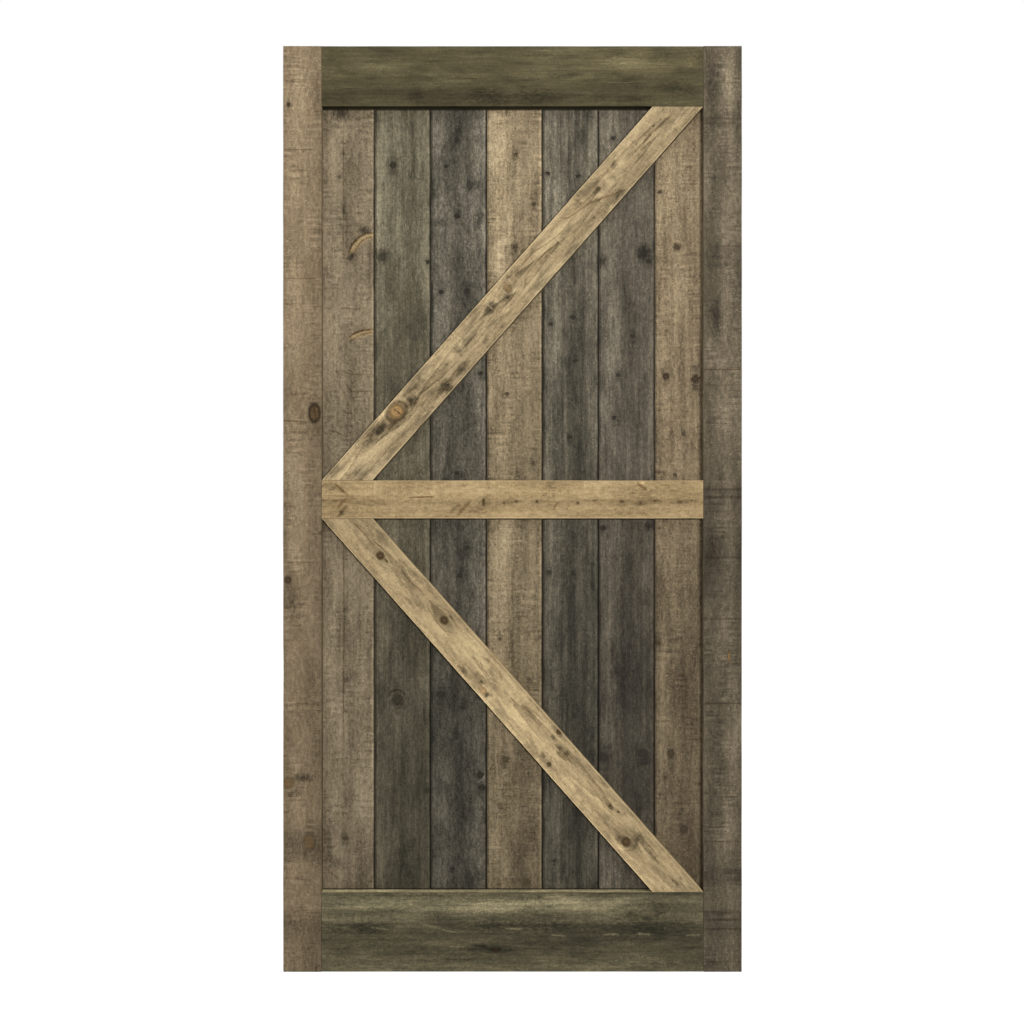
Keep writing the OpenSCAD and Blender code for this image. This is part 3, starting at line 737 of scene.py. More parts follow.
def mesh_size(name):
    """The factor on the spacing of a board's mesh."""
    return FINE if name in FINE_BOARDS else 1.0


class Board:
    """One board: columns go round its section and rows run along it.

    A stile or a plank has half of the guide groove in its lower end, on the face that its groove names.
    """

    def __init__(self, name, start, along, half, length, front, section, lean=0.0, groove=None):
        self.name = name
        self.look = LOOKS[name]
        self.start = np.array(start)
        self.along = np.array(along)
        self.across = np.array((along[1], -along[0]))
        self.half = half
        self.length = length
        self.front = front
        self.section = section
        self.groove = groove
        self.size = mesh_size(name)
        rows = steps(0, length, ROW_STEP * self.size)
        if groove is not None:
            rows = np.concatenate([steps(0, GUIDE_D, ROW_STEP), steps(GUIDE_D, length, ROW_STEP)])
        self.rows = rows
        self.u = np.repeat(section.u[None, :], len(rows), axis=0)
        self.y = np.repeat(section.y[None, :], len(rows), axis=0)
        self.v = rows[:, None] + lean * self.u
        self.lean = lean
        self.on_front = section.kind == FRONT
        self.on_back = section.kind == BACK

    def local(self, px, py):
        """u and v of a pixel of the photo on the board's front, or of a place beside its middle line."""
        if "middle" in self.look:
            px, py = beside(self.look["middle"], px, py)
        offset = np.array(photo_point(px, py, self.front)) - self.start
        return offset @ self.across, offset @ self.along

    def v_of_pixel(self, pixel):
        """v at a pixel's height on an upright board, or at its place from left to right on another."""
        x, z = photo_point(pixel, pixel, self.front)
        if not self.along[0]:
            return z - self.start[1]
        return (x - self.start[0]) / self.along[0]

    def tone(self):
        """Brightness along and across the board, with dark seams and painted light and shade on its sides and
        right edge, as a factor on linear colour.
        """
        stops = sorted((self.v_of_pixel(pixel), value) for pixel, value in self.look["along"])
        along = np.interp(self.v, *zip(*stops))
        places, values = zip(*self.look["across"])
        across = np.interp(self.u / (2 * self.half) + 0.5, places, values)
        kind = self.section.kind
        right = self.section.u > 0
        jointed = (self.groove == FRONT) & np.isin(right, right[kind == JOINT])
        left_tone, right_tone = SIDE_LIGHT_AND_SHADE.get(self.name, PLAIN_SIDE_SHADE)
        sides = np.where(right, right_tone, left_tone)
        edges = np.where(right, 1.0, EDGE_TONES.get(self.name, 1.0))
        seam = self.look.get("seam", PLAIN_SEAM)
        # Dark seams and joint sides, painted light and shade on the other sides, and the tones of the upper
        # arrises
        seam_dirt_and_side_light = np.select(
            [kind == JOINT, (kind == SIDE) & jointed, kind == SIDE, kind == EDGE],
            [seam, JOINT_SIDES, sides, edges],
            1,
        )
        # A painted highlight along the plank's right edge
        from_edge = (self.half - PLANK_BEVEL - 2 * EDGE_HIGHLIGHT_W / 3 - self.u) / EDGE_HIGHLIGHT_W
        edge_highlight = 1 + self.look.get("edge_highlight", 0.0) * np.exp(-(from_edge**2))
        return (along * across * seam_dirt_and_side_light * edge_highlight) ** TONE_POWER

    def mark_knots(self):
        """Squared distances from the knots, plain and drawn out along the grain, which moves aside."""
        shape = self.u.shape
        self.knot_near = np.full(shape, KNOT_FAR)
        self.knot_far = np.full(shape, KNOT_FAR)
        self.knot_warm = np.zeros(shape)
        self.knot_dark = np.zeros(shape)
        self.bend = np.zeros(shape)
        through = self.on_front | self.on_back
        for mark in self.look["knots"]:
            u, v = self.local(mark["x"], mark["y"])
            wide = mark["across"] * PIXEL
            du = (self.u - u) / wide
            dv = (self.v - v) / (mark["along"] * PIXEL)
            near = du**2 + dv**2
            here = (near < self.knot_near) & through
            self.knot_near[here] = near[here]
            drawn_out = du**2 + (dv / KNOT_REACH) ** 2
            self.knot_far = np.minimum(self.knot_far, np.where(through, drawn_out, KNOT_FAR))
            self.knot_warm[here] = mark["warm"]
            self.knot_dark[here] = mark["dark"]
            pushed = du**2 - PUSH * np.exp(-((dv / PUSH_ALONG) ** 2))
            aside = np.sqrt(np.maximum(pushed, 0)) * np.sign(du)
            self.bend += (aside - du) * wide * np.exp(-((du / PUSH_ACROSS) ** 2)) * self.on_front

    def mark_cracks(self):
        """Two layers of lines, so that lines close together stay apart, and the torn hollows."""
        self.torn = np.zeros(self.u.shape)
        self.cut = self.nearest_line(self.look["cracks"])
        self.line = self.nearest_line(self.look.get("lines", []))

    def nearest_line(self, marks):
        """Signed distance to the nearest line, its strength and its width."""
        shape = self.u.shape
        nearest = np.full(shape, CRACK_FAR)
        found = np.zeros(shape + (3,))
        found[..., 0] = NO_CRACK
        for mark in marks:
            line = [np.array(self.local(*point)) for point in mark["points"]]
            count = len(line) - 1
            for index, (first, last) in enumerate(zip(line[:-1], line[1:])):
                way = last - first
                length = np.hypot(*way)
                from_u = self.u - first[0]
                from_v = self.v - first[1]
                share = (from_u * way[0] + from_v * way[1]) / length**2
                aside = (from_u * way[1] - from_v * way[0]) / length
                past = np.maximum(np.maximum(-share, share - 1), 0) * length
                distance = np.hypot(aside, past)
                whole = np.clip((index + np.clip(share, 0, 1)) / count, 0, 1)
                taper = np.minimum(1, CRACK_TAPER * np.minimum(whole, 1 - whole) + CRACK_TIP)
                alongside = past < CRACK_OVERRUN
                reach = max(CRACK_REACH * self.size, mark["width"] + CRACK_MARGIN)
                strength = mark["dark"] * taper * alongside * (abs(aside) < reach)
                here = (distance < nearest) & self.on_front
                nearest[here] = distance[here]
                found[here] = np.stack([aside, strength, np.full(shape, mark["width"])], axis=-1)[here]
                if mark["tear"]:
                    depth = aside / (mark["tear"] * PIXEL * taper)
                    inside = np.interp(depth, TEAR_PLACES, TEAR_DEPTHS) * alongside
                    self.torn = np.maximum(self.torn, inside * self.on_front)
        return found

    def mark_stains(self):
        """How far each point is stained."""
        self.stain = np.zeros(self.u.shape)
        for mark in self.look["smudges"]:
            u, v = self.local(mark["x"], mark["y"])
            du = (self.u - u) / (mark["across"] * PIXEL)
            dv = (self.v - v) / (mark["along"] * PIXEL)
            amount = mark["dark"] * np.exp(-(du**2) - dv**2) * self.on_front
            self.stain = np.where(abs(amount) > abs(self.stain), amount, self.stain)

    def mark_corners(self, face_boards):
        """Distance from the outlines of the face boards, for a plank, which places the painted shade beside
        them.
        """
        self.to_board = np.full(self.u.shape, BOARD_FAR)
        if self.groove != FRONT:
            return
        for board in face_boards:
            offset = np.stack([self.start[0] + self.u, self.start[1] + self.v], axis=-1) - board.start
            u = offset @ board.across
            row = offset @ board.along - board.lean * u
            outside = np.maximum(abs(u) - board.half, np.maximum(-row, row - board.length))
            outside = outside + np.where(u < 0, *PAINTED_SHADE_LESS[board.name])
            self.to_board = np.minimum(self.to_board, np.where(self.on_front, outside, BOARD_FAR))

    def wear(self):
        """Moves the points in from the sawn section: waves, ridges, hollows and worn arrises."""
        seed = self.look["seed"]
        kind = self.section.kind
        round_u = self.section.girth[:-1][None, :] + self.bend
        front = FRONT_WEAR + bumps(WAVES, self.u, self.v, seed)
        front += bumps(RIDGES, round_u, self.v, seed + 100)
        front += bumps(PITS, round_u, self.v, seed + 200)
        front += KNOT_HOLLOW * self.knot_dark * np.exp(-self.knot_near / KNOT_SPREAD)
        front += TEAR_HOLLOW * self.torn
        edge = ARRIS_WEAR + bumps(CHIPS, round_u, self.v, seed + 300, power=3)
        side = SIDE_WEAR + bumps(SIDE_WAVES, round_u, self.v, seed + 400)
        faces = [kind == FRONT, kind == EDGE, kind == SIDE, kind == BACK]
        moved = np.select(faces, [front, edge, side, front * BACK_SHARE], 0)
        self.u = self.u + moved * self.section.in_u
        self.y = self.y + moved * self.section.in_y
        self.v = self.rows[:, None] + self.lean * self.u
        if self.groove is not None:
            low = self.rows <= GUIDE_D
            low[np.flatnonzero(low)[-1]] = False
            if self.groove == FRONT:
                self.y[low] = np.maximum(self.y[low], GUIDE_W / 2)
            else:
                self.y[low] = np.minimum(self.y[low], self.section.y.max() - GUIDE_W / 2)

    def fields(self):
        """What the material reads at each point."""
        section = self.section
        round_u = np.broadcast_to(section.girth[:-1][None, :], self.u.shape)
        ring = np.zeros(self.u.shape)
        ringed = np.zeros(self.u.shape)
        if "pith" in self.look:
            place, pixel, below, slope = self.look["pith"]
            aside = self.u - (place - 0.5) * 2 * self.half + self.bend
            under = below + slope * abs(self.v - self.v_of_pixel(pixel))
            ring = np.hypot(aside, under)
            ringed = np.exp(-((aside / RING_REACH) ** 4))
        from_side = self.half - abs(self.u)
        to_arris = np.where(self.on_front | self.on_back, from_side, np.minimum(self.y, ARRIS_FAR))
        if self.groove == FRONT:
            to_arris = to_arris - np.where(self.u < 0, LEFT_DIRT, JOINT_DIRT)
        return {
            "grain": np.stack([round_u + self.bend, ring, self.v], axis=-1),
            "place": np.stack([round_u, ringed, self.v], axis=-1),
            "knot": np.stack([self.knot_near, self.knot_far, self.knot_warm], axis=-1),
            "marks": np.stack([self.knot_dark, self.stain, self.tone()], axis=-1),
            "cut": self.cut,
            "line": self.line,
            "wear_and_light": np.stack([to_arris, TEAR_SHOWN * self.torn, self.to_board], axis=-1),
        }

    def points(self):
        """Places of the points in metres."""
        x = self.start[0] + self.u * self.across[0] + self.v * self.along[0]
        z = self.start[1] + self.u * self.across[1] + self.v * self.along[1]
        return np.stack([x, self.front + self.y, z], axis=-1) * MM


# Meshes

# Rings of a countersunk hole, as radius and depth below the back, and half the patch that it replaces
HOLE_RINGS = ((4.75, 0.0), (4.4, 0.35), (4.3, 1.0), (2.5, 2.8), (2.4, 17.6))
HOLE_PATCH = 7.5

# Room on the map: round the strips, for a hole, its wall and its floor, and round the two ends
MAP_GAP = 6.0
HOLE_ROOM = 34.0
WALL_ROOM = 28.0
FLOOR_PLACE = (31.0, 5.0)
END_ROOM = 30.0

# Faces that meet at a larger angle than this have a sharp edge, in degrees
SHARP_ANGLE = 38.0


class MeshData:
    """Points, faces, map corners and fields of a mesh while it is put together."""

    def __init__(self, points, fields):
        self.points = [points]
        self.fields = {name: [values] for name, values in fields.items()}
        self.count = len(points)
        self.faces = []
        self.corners = []

    def add_points(self, points, like):
        """Adds points that take their fields from a point already there."""
        first = self.count
        self.points.append(np.asarray(points))
        for parts in self.fields.values():
            parts.append(np.repeat(parts[0][like][None, :], len(points), axis=0))
        self.count += len(points)
        return list(range(first, self.count))

    def add_face(self, face, corners):
        """Adds a face with its corners on the map."""
        self.faces.append(list(face))
        self.corners.extend(corners)


def strip_rows(board, holes):
    """Rows at which the board's map is cut into strips, clear of the screw holes."""
    girth = board.section.girth[-1] - board.section.girth[0]
    strips = max(1, round(math.sqrt(board.length / girth)))
    cuts = [0]
    for index in range(1, strips):
        row = round(index * (len(board.rows) - 1) / strips)
        while any(abs(board.rows[row] - v) < 2 * HOLE_PATCH for _, v in holes):
            row += 1
        cuts.append(row)
    return cuts + [len(board.rows) - 1]


class FlatMap:
    """A board's map: strips of its faces side by side, and above them its screw holes and its two ends."""

    def __init__(self, board, holes):
        cuts = strip_rows(board, holes)
        strip_of = np.searchsorted(cuts, np.arange(len(board.rows) - 1), side="right") - 1
        lengths = [board.rows[last] - board.rows[first] for first, last in zip(cuts[:-1], cuts[1:])]
        self.around = board.section.girth - board.section.girth[0]
        self.left = strip_of * (self.around[-1] + MAP_GAP)
        self.base = board.rows[np.array(cuts)[strip_of]]
        self.top = max(lengths) + MAP_GAP


def build_mesh(board, holes):
    """The board's mesh, closed, with countersunk holes in its back and a map of its own."""
    section = board.section
    row_count, column_count = board.u.shape
    fields = {name: values.reshape(-1, 3) for name, values in board.fields().items()}
    data = MeshData(board.points().reshape(-1, 3), fields)
    flat = FlatMap(board, holes)
    ids = np.arange(row_count * column_count).reshape(row_count, column_count)
    after = np.roll(ids, -1, axis=1)
    kept = np.ones((row_count - 1, column_count), bool)
    for number, hole in enumerate(holes):
        punch(board, data, flat, ids, kept, hole, number)

    rows, columns = np.nonzero(kept)
    quads = np.stack(
        [ids[rows, columns], after[rows, columns], after[rows + 1, columns], ids[rows + 1, columns]], axis=1
    )
    near = flat.left[rows] + flat.around[columns]
    far = flat.left[rows] + flat.around[columns + 1]
    low = board.rows[rows] - flat.base[rows]
    high = board.rows[rows + 1] - flat.base[rows]
    quad_map = np.stack([near, low, far, low, far, high, near, high], axis=1).reshape(-1, 2)

    for end, order in ((0, slice(None, None, -1)), (row_count - 1, slice(None))):
        shift = board.half + TONGUE_REACH + (end > 0) * (2 * board.half + END_ROOM)
        spots = np.stack([section.u + shift, section.y + (flat.top + END_ROOM)], axis=1)[order]
        data.add_face(ids[end][order].tolist(), spots.tolist())

    mesh = bpy.data.meshes.new(board.name + "_wood")
    mesh.from_pydata(np.concatenate(data.points).tolist(), [], quads.tolist() + data.faces)
    layer = mesh.uv_layers.new(name="OFBake")
    spots = np.concatenate([quad_map, np.array(data.corners)])
    layer.data.foreach_set("uv", (MAP_GAP + spots).ravel() / (spots.max() + 2 * MAP_GAP))
    for name, parts in data.fields.items():
        attribute = mesh.attributes.new(name, "FLOAT_VECTOR", "POINT")
        attribute.data.foreach_set("vector", np.concatenate(parts).astype(np.float32).ravel())
    mesh.polygons.foreach_set("use_smooth", np.ones(len(mesh.polygons), bool))
    mesh.set_sharp_from_angle(angle=math.radians(SHARP_ANGLE))
    mesh.update()
    return mesh


def punch(board, data, flat, ids, kept, hole, number):
    """Cuts a countersunk screw hole into the back of the grid."""
    u, v = hole
    columns = np.flatnonzero(board.on_back)
    first = columns[board.section.u[columns] > u + HOLE_PATCH][-1]
    last = columns[board.section.u[columns] < u - HOLE_PATCH][0]
    low = np.flatnonzero(board.rows < v - HOLE_PATCH)[-1]
    high = np.flatnonzero(board.rows > v + HOLE_PATCH)[0]
    kept[low:high, first:last] = False
    loop = [(low, column) for column in range(first, last)]
    loop += [(row, last) for row in range(low, high)]
    loop += [(high, column) for column in range(last, first, -1)]
    loop += [(row, first) for row in range(high, low, -1)]
    count = len(loop)
    turns = [math.atan2(board.rows[row] - v, u - board.section.u[column]) for row, column in loop]
    back = board.y[low, first]

    rings = [[int(ids[place]) for place in loop]]
    for radius, depth in HOLE_RINGS:
        ring = [
            (
                (board.start[0] + u - radius * math.cos(turn)) * MM,
                (board.front + back - depth) * MM,
                (board.start[1] + v + radius * math.sin(turn)) * MM,
            )
            for turn in turns
        ]
        rings.append(data.add_points(ring, rings[0][0]))

    def on_map(at_u, at_v):
        """The place on the map of a point of the back."""
        return flat.left[low] + flat.around[first] + board.section.u[first] - at_u, at_v - flat.base[low]

    outer_map = [on_map(board.section.u[column], board.rows[row]) for row, column in loop]
    radius = HOLE_RINGS[0][0]
    inner_map = [on_map(u - radius * math.cos(turn), v + radius * math.sin(turn)) for turn in turns]
    for here in range(count):
        there = (here + 1) % count
        face = (rings[0][here], rings[0][there], rings[1][there], rings[1][here])
        data.add_face(face, (outer_map[here], outer_map[there], inner_map[there], inner_map[here]))

    cell = number * HOLE_ROOM
    bottom = flat.top
    for index in range(1, len(HOLE_RINGS)):
        (radius, depth), (next_radius, next_depth) = HOLE_RINGS[index - 1:index + 1]
        top = bottom + math.hypot(next_radius - radius, next_depth - depth)
        for here in range(count):
            there = (here + 1) % count
            face = (rings[index][here], rings[index][there], rings[index + 1][there], rings[index + 1][here])
            near = cell + WALL_ROOM * here / count
            far = cell + WALL_ROOM * (here + 1) / count
            data.add_face(face, ((near, bottom), (far, bottom), (far, top), (near, top)))
        bottom = top
    floor_x = cell + FLOOR_PLACE[0]
    floor_y = flat.top + FLOOR_PLACE[1]
    radius = HOLE_RINGS[-1][0]
    spots = [(floor_x + radius * math.cos(turn), floor_y + radius * math.sin(turn)) for turn in turns]
    data.add_face(rings[-1], spots)


# Materials

def linear(colour):
    """A colour written as sRGB levels, as linear values."""
    levels = np.array(colour) / 255
    return tuple(np.where(levels <= 0.04045, levels / 12.92, ((levels + 0.055) / 1.055) ** 2.4)) + (1.0,)


# Turn and roughness of the noise: the turn keeps its own grid from showing along the boards
NOISE_TURN = 0.6
NOISE_ROUGHNESS = 0.6


class Tree:
    """Short calls for making shader nodes and linking them."""

    def __init__(self, tree):
        self.tree = tree

    def put(self, socket, value):
        """Links a socket to another one, or sets its value."""
        if isinstance(value, bpy.types.NodeSocket):
            self.tree.links.new(value, socket)
        else:
            socket.default_value = value

    def node(self, kind, inputs=(), **settings):
        """A new node with its settings and inputs."""
        made = self.tree.nodes.new(kind)
        for name, value in settings.items():
            setattr(made, name, value)
        for key, value in dict(inputs).items():
            self.put(made.inputs[key], value)
        return made

    def math(self, operation, *values):
        """The result of an operation on numbers."""
        return self.node("ShaderNodeMath", enumerate(values), operation=operation).outputs[0]

    def minus(self, value, other):
        """The difference of two values."""
        return self.math("SUBTRACT", value, other)

    def product(self, value, *others):
        """Values multiplied with each other."""
        for other in others:
            value = self.math("MULTIPLY", value, other)
        return value

    def scaled(self, value, factor, base):
        """A value times a factor, plus a base."""
        return self.math("MULTIPLY_ADD", value, factor, base)

    def vector(self, operation, *values):
        """The result of an operation on vectors."""
        return self.node("ShaderNodeVectorMath", enumerate(values), operation=operation).outputs[0]

    def field(self, name):
        """A field of the mesh."""
        return self.node("ShaderNodeAttribute", attribute_name=name).outputs["Vector"]

    def parts(self, value):
        """The three numbers of a vector."""
        return self.node("ShaderNodeSeparateXYZ", {0: value}).outputs

    def noise(self, place, size, shift, detail=2.0):
        """Noise with bumps of these sizes, in the place's unit. A size of 0 leaves that direction out."""
        scale = tuple(1 / length if length else 0.0 for length in size)
        spot = self.vector("MULTIPLY_ADD", place, scale, shift)
        inputs = {"Vector": spot, "Angle": NOISE_TURN}
        turned = self.node("ShaderNodeVectorRotate", inputs, rotation_type="Y_AXIS").outputs[0]
        inputs = {"Vector": turned, "Scale": 1.0, "Detail": detail, "Roughness": NOISE_ROUGHNESS}
        return self.node("ShaderNodeTexNoise", inputs).outputs["Fac"]

    def ease(self, value, low, high):
        """0 at low and 1 at high, with soft ends."""
        inputs = {"Value": value, "From Min": low, "From Max": high}
        return self.node("ShaderNodeMapRange", inputs, interpolation_type="SMOOTHSTEP").outputs["Result"]

    def clamped(self, value):
        """A value kept from 0 to 1."""
        return self.node("ShaderNodeClamp", {0: value}).outputs[0]

    def blend(self, factor, first, second):
        """The first colour at 0 and the second at 1."""
        return self.node("ShaderNodeMix", {0: factor, 6: first, 7: second}, data_type="RGBA").outputs[2]

    def times(self, colour, factor):
        """A colour made brighter or darker by a factor."""
        return self.node("ShaderNodeVectorMath", {0: colour, "Scale": factor}, operation="SCALE").outputs[0]

    def darker(self, colour, amount):
        """A colour with this share of its light taken away."""
        return self.times(colour, self.minus(1.0, amount))


WOOD_COLOURS = ("Pale", "Mid", "Dark")
WOOD_AMOUNTS = (
    "Streak", "Fine", "Fleck", "Mottle", "Blotch", "Sawn", "Rings", "Smoke", "Wear_and_light", "Ragged", "Seed",
)

# Amounts of a board whose look doesn't name them
PLAIN_AMOUNTS = dict(rings=0.0, wear_and_light=0.0, ragged=0.35)

# Colours of the marks, and the factors that turn wood into the brown of a crack
KNOT_BLACK = (64, 45, 21)
KNOT_RUST = (156, 112, 52)
TORN_WOOD = (158, 136, 98)
CRACK_BROWN = (0.3, 0.2, 0.1)

# Spacing of the growth rings, size of the pores in the end grain, depth and strength of the relief
RING_SPACING = 7.5
PORE = 2.2
RELIEF = 0.9
RELIEF_STRENGTH = 0.6

# Shine of the wood, and the steel's two colours, its shine and how many clouds it has to a metre
WOOD_SPECULAR = 0.1
STEEL_DARK = (58, 56, 52)
STEEL_BRIGHT = (128, 124, 116)
STEEL_METALLIC = 0.9
STEEL_CLOUDS = 700.0


def wood_group():
    """Weathered wood: grain, flecks, mottle and saw marks, then smoky patches, knots, stains and cracks."""
    group = bpy.data.node_groups.new("weathered_wood", "ShaderNodeTree")
    for name in WOOD_COLOURS:
        group.interface.new_socket(name, in_out="INPUT", socket_type="NodeSocketColor")
    for name in WOOD_AMOUNTS:
        group.interface.new_socket(name, in_out="INPUT", socket_type="NodeSocketFloat")
    group.interface.new_socket("Along", in_out="INPUT", socket_type="NodeSocketVector")
    group.interface.new_socket("Colour", in_out="OUTPUT", socket_type="NodeSocketColor")
    group.interface.new_socket("Roughness", in_out="OUTPUT", socket_type="NodeSocketFloat")
    group.interface.new_socket("Height", in_out="OUTPUT", socket_type="NodeSocketFloat")
    t = Tree(group)
    given = t.node("NodeGroupInput").outputs
    shift = given["Seed"]
    grain = t.field("grain")
    place = t.field("place")
    ring = t.parts(grain)[1]
    knot_near, knot_far, warm = t.parts(t.field("knot"))
    knot_dark, stain, tone = t.parts(t.field("marks"))
    to_arris, torn, to_board = t.parts(t.field("wear_and_light"))

    # Grain, flecks, mottle and saw marks add up to one value
    layers = {
        "Streak": t.noise(grain, (13, 0, 380), shift, 1.0),
        "Fine": t.noise(grain, (3.2, 0, 60), shift, 1.0),
        "Fleck": t.noise(grain, (3.4, 0, 6), shift),
        "Mottle": t.noise(place, (7, 0, 15), shift),
        "Blotch": t.noise(place, (52, 0, 170), shift, 1.0),
        "Sawn": t.noise(place, (60, 0, 7), shift),
    }
    where_sawn = t.ease(t.noise(place, (50, 0, 70), shift, 1.0), 0.42, 0.66)
    layers["Sawn"] = t.scaled(t.product(t.minus(layers["Sawn"], 0.5), where_sawn), 1.6, 0.5)
    fibre = t.noise(grain, (1.0, 0, 24), shift, 1.0)
    value = t.scaled(fibre, 0.4, 0.3)
    for name, layer in layers.items():
        value = t.scaled(t.minus(layer, 0.5), given[name], value)
    wander = t.scaled(layers["Streak"], 1.4, t.math("DIVIDE", ring, RING_SPACING))
    late = t.math("POWER", t.math("FRACT", wander), 3.0)
    ringed = t.product(t.parts(place)[1], given["Rings"])
    value = t.minus(value, t.product(t.minus(late, 0.25), ringed))

    # Pale and dark specks, with more nicks where a board is sawn
    blob = t.noise(place, (5, 0, 6), shift)
    dots = t.noise(place, (6.5, 0, 3.4), shift)
    specks = t.minus(t.ease(dots, 0.58, 0.74), t.ease(dots, 0.42, 0.26))
    nicks = t.scaled(given["Sawn"], 0.35, 0.28)
    value = t.scaled(specks, nicks, value)

    # Ragged distances from the knots, in radii, and rings round the warm ones
    lumps = t.scaled(blob, 0.3, -0.15)
    crumbs = t.scaled(t.noise(place, (3.4, 0, 3), shift), 1.6, -0.82)
    crumbs = t.product(t.scaled(lumps, 3.4, crumbs), given["Ragged"])
    radius = t.scaled(lumps, 1.9, t.math("SQRT", knot_near))
    ragged_radius = t.math("ADD", t.math("SQRT", knot_near), crumbs)
    spread = t.math("ADD", t.math("SQRT", knot_far), crumbs)
    eye = t.product(knot_dark, warm)
    wave = t.product(t.math("SINE", t.product(radius, 9.0)), t.ease(radius, KNOT_REACH, 1.0))
    value = t.scaled(t.product(wave, eye), 0.25, value)

    # Colour from dark over mid to pale, and bare wood in the tears
    low = t.clamped(t.product(value, 2.0))
    high = t.clamped(t.scaled(value, 2.0, -1.0))
    colour = t.blend(high, t.blend(low, given["Dark"], given["Mid"]), given["Pale"])
    streaked = t.times(linear(TORN_WOOD)[:3], t.scaled(layers["Fleck"], 1.6, 0.2))
    colour = t.blend(torn, colour, streaked)

    # Worn arrises: paler towards bare wood, with a painted highlight that brightens them further
    rubbed = t.ease(t.scaled(layers["Mottle"], 4.0, t.minus(to_arris, 2.0)), 2.6, 0.4)
    rubbed = t.product(rubbed, given["Wear_and_light"])
    colour = t.blend(rubbed, colour, given["Pale"])
    colour = t.times(colour, t.scaled(rubbed, 0.15, 1.0))
    colour = t.times(colour, tone)

    # Smoky patches and stains
    cloud = t.noise(place, (26, 0, 75), shift, 3.0)
    colour = t.darker(colour, t.product(t.ease(cloud, 0.46, 0.68), given["Smoke"]))
    frayed = t.scaled(t.noise(grain, (5, 0, 11), shift, 3.0), 1.5, -0.75)
    for side, strength in ((1.0, -0.78), (-1.0, 0.8)):
        amount = t.product(stain, side)
        worn_off = t.ease(t.scaled(amount, 1.2, frayed), 0.0, 1.05)
        patch = t.product(worn_off, t.ease(amount, 0.03, 0.25))
        colour = t.times(colour, t.scaled(patch, strength, 1.0))

    # Knots: a dark halo along the grain, then a black spot, or a brown heart in a dark ring
    plain = t.minus(knot_dark, eye)
    colour = t.darker(colour, t.product(t.ease(spread, 1.8, 0.4), plain, 0.4))
    heart = t.product(t.ease(radius, 1.0, 0.85), t.product(eye, 1.6))
    brown = t.times(t.blend(0.4, linear(KNOT_RUST), given["Mid"]), t.scaled(warm, 2.2, -1.0))
    circles = t.scaled(t.math("SINE", t.product(radius, 15.0)), 0.16, 0.3)
    brown = t.times(brown, t.scaled(layers["Fleck"], 1.1, circles))
    colour = t.blend(heart, colour, brown)
    band = t.ease(t.math("ABSOLUTE", t.minus(radius, 0.92)), 0.34, 0.08)
    outline = t.product(band, t.product(eye, eye), 2.2)
    strong = t.product(plain, 1.25)
    colour = t.blend(t.product(t.ease(ragged_radius, 1.1, 0.8), strong), colour, given["Dark"])
    spot = t.product(t.ease(ragged_radius, 0.85, 0.5), strong)
    core = t.blend(t.scaled(given["Ragged"], 0.5, 0.3), linear(KNOT_BLACK), given["Dark"])
    core = t.times(core, t.scaled(t.ease(ragged_radius, 0.1, 0.6), -0.6, 1.15))
    colour = t.blend(t.math("MAXIMUM", spot, outline), colour, core)

    # Cracks and scratches
    gaps = []
    broken = t.scaled(t.ease(dots, 0.36, 0.58), 0.75, 0.35)
    for layer in ("cut", "line"):
        aside, strength, width = t.parts(t.field(layer))
        ragged = t.math("ABSOLUTE", t.math("ADD", aside, t.scaled(blob, 3.6, -1.8)))
        inside = t.ease(ragged, t.math("ADD", width, 0.7), t.product(width, 0.4))
        line = t.product(inside, strength, broken)
        gaps.append(t.math("MAXIMUM", line, 0.0))
        colour = t.blend(gaps[-1], colour, t.vector("MULTIPLY", colour, CRACK_BROWN))
        bare = t.math("MAXIMUM", t.product(line, -1.0), 0.0)
        colour = t.blend(bare, colour, given["Pale"])

    # Painted shade on the planks beside the face boards, and dirt along the joints and arrises
    corner = t.ease(t.scaled(blob, 2.0, t.minus(to_board, 1.0)), 4.2, 1.4)
    colour = t.darker(colour, t.product(corner, 0.82))
    dirt = t.ease(t.scaled(blob, 1.6, t.minus(to_arris, 0.8)), 0.2, -1.4)
    colour = t.darker(colour, t.product(dirt, t.scaled(cloud, 1.1, -0.05)))

    # End grain
    normal = t.node("ShaderNodeNewGeometry").outputs["True Normal"]
    facing = t.node("ShaderNodeVectorMath", {0: normal, 1: given["Along"]}, operation="DOT_PRODUCT")
    end = t.ease(t.math("ABSOLUTE", facing.outputs["Value"]), 0.75, 0.9)
    object_place = t.node("ShaderNodeTexCoord").outputs["Object"]
    pores = t.noise(object_place, (PORE * MM,) * 3, shift, 1.0)
    end_colour = t.times(given["Mid"], t.scaled(pores, 1.0, 0.15))
    colour = t.blend(end, colour, end_colour)

    # Relief and roughness
    height = t.product(layers["Fine"], 0.6)
    ridges = [(fibre, 0.5), (layers["Fleck"], 0.5), (layers["Sawn"], 0.35)]
    for layer, share in ridges + [(gap, -1.0) for gap in gaps]:
        height = t.scaled(layer, share, height)
    roughness = t.scaled(layers["Mottle"], 0.35, 0.55)
    t.node("NodeGroupOutput", {"Colour": colour, "Roughness": roughness, "Height": height})
    return group


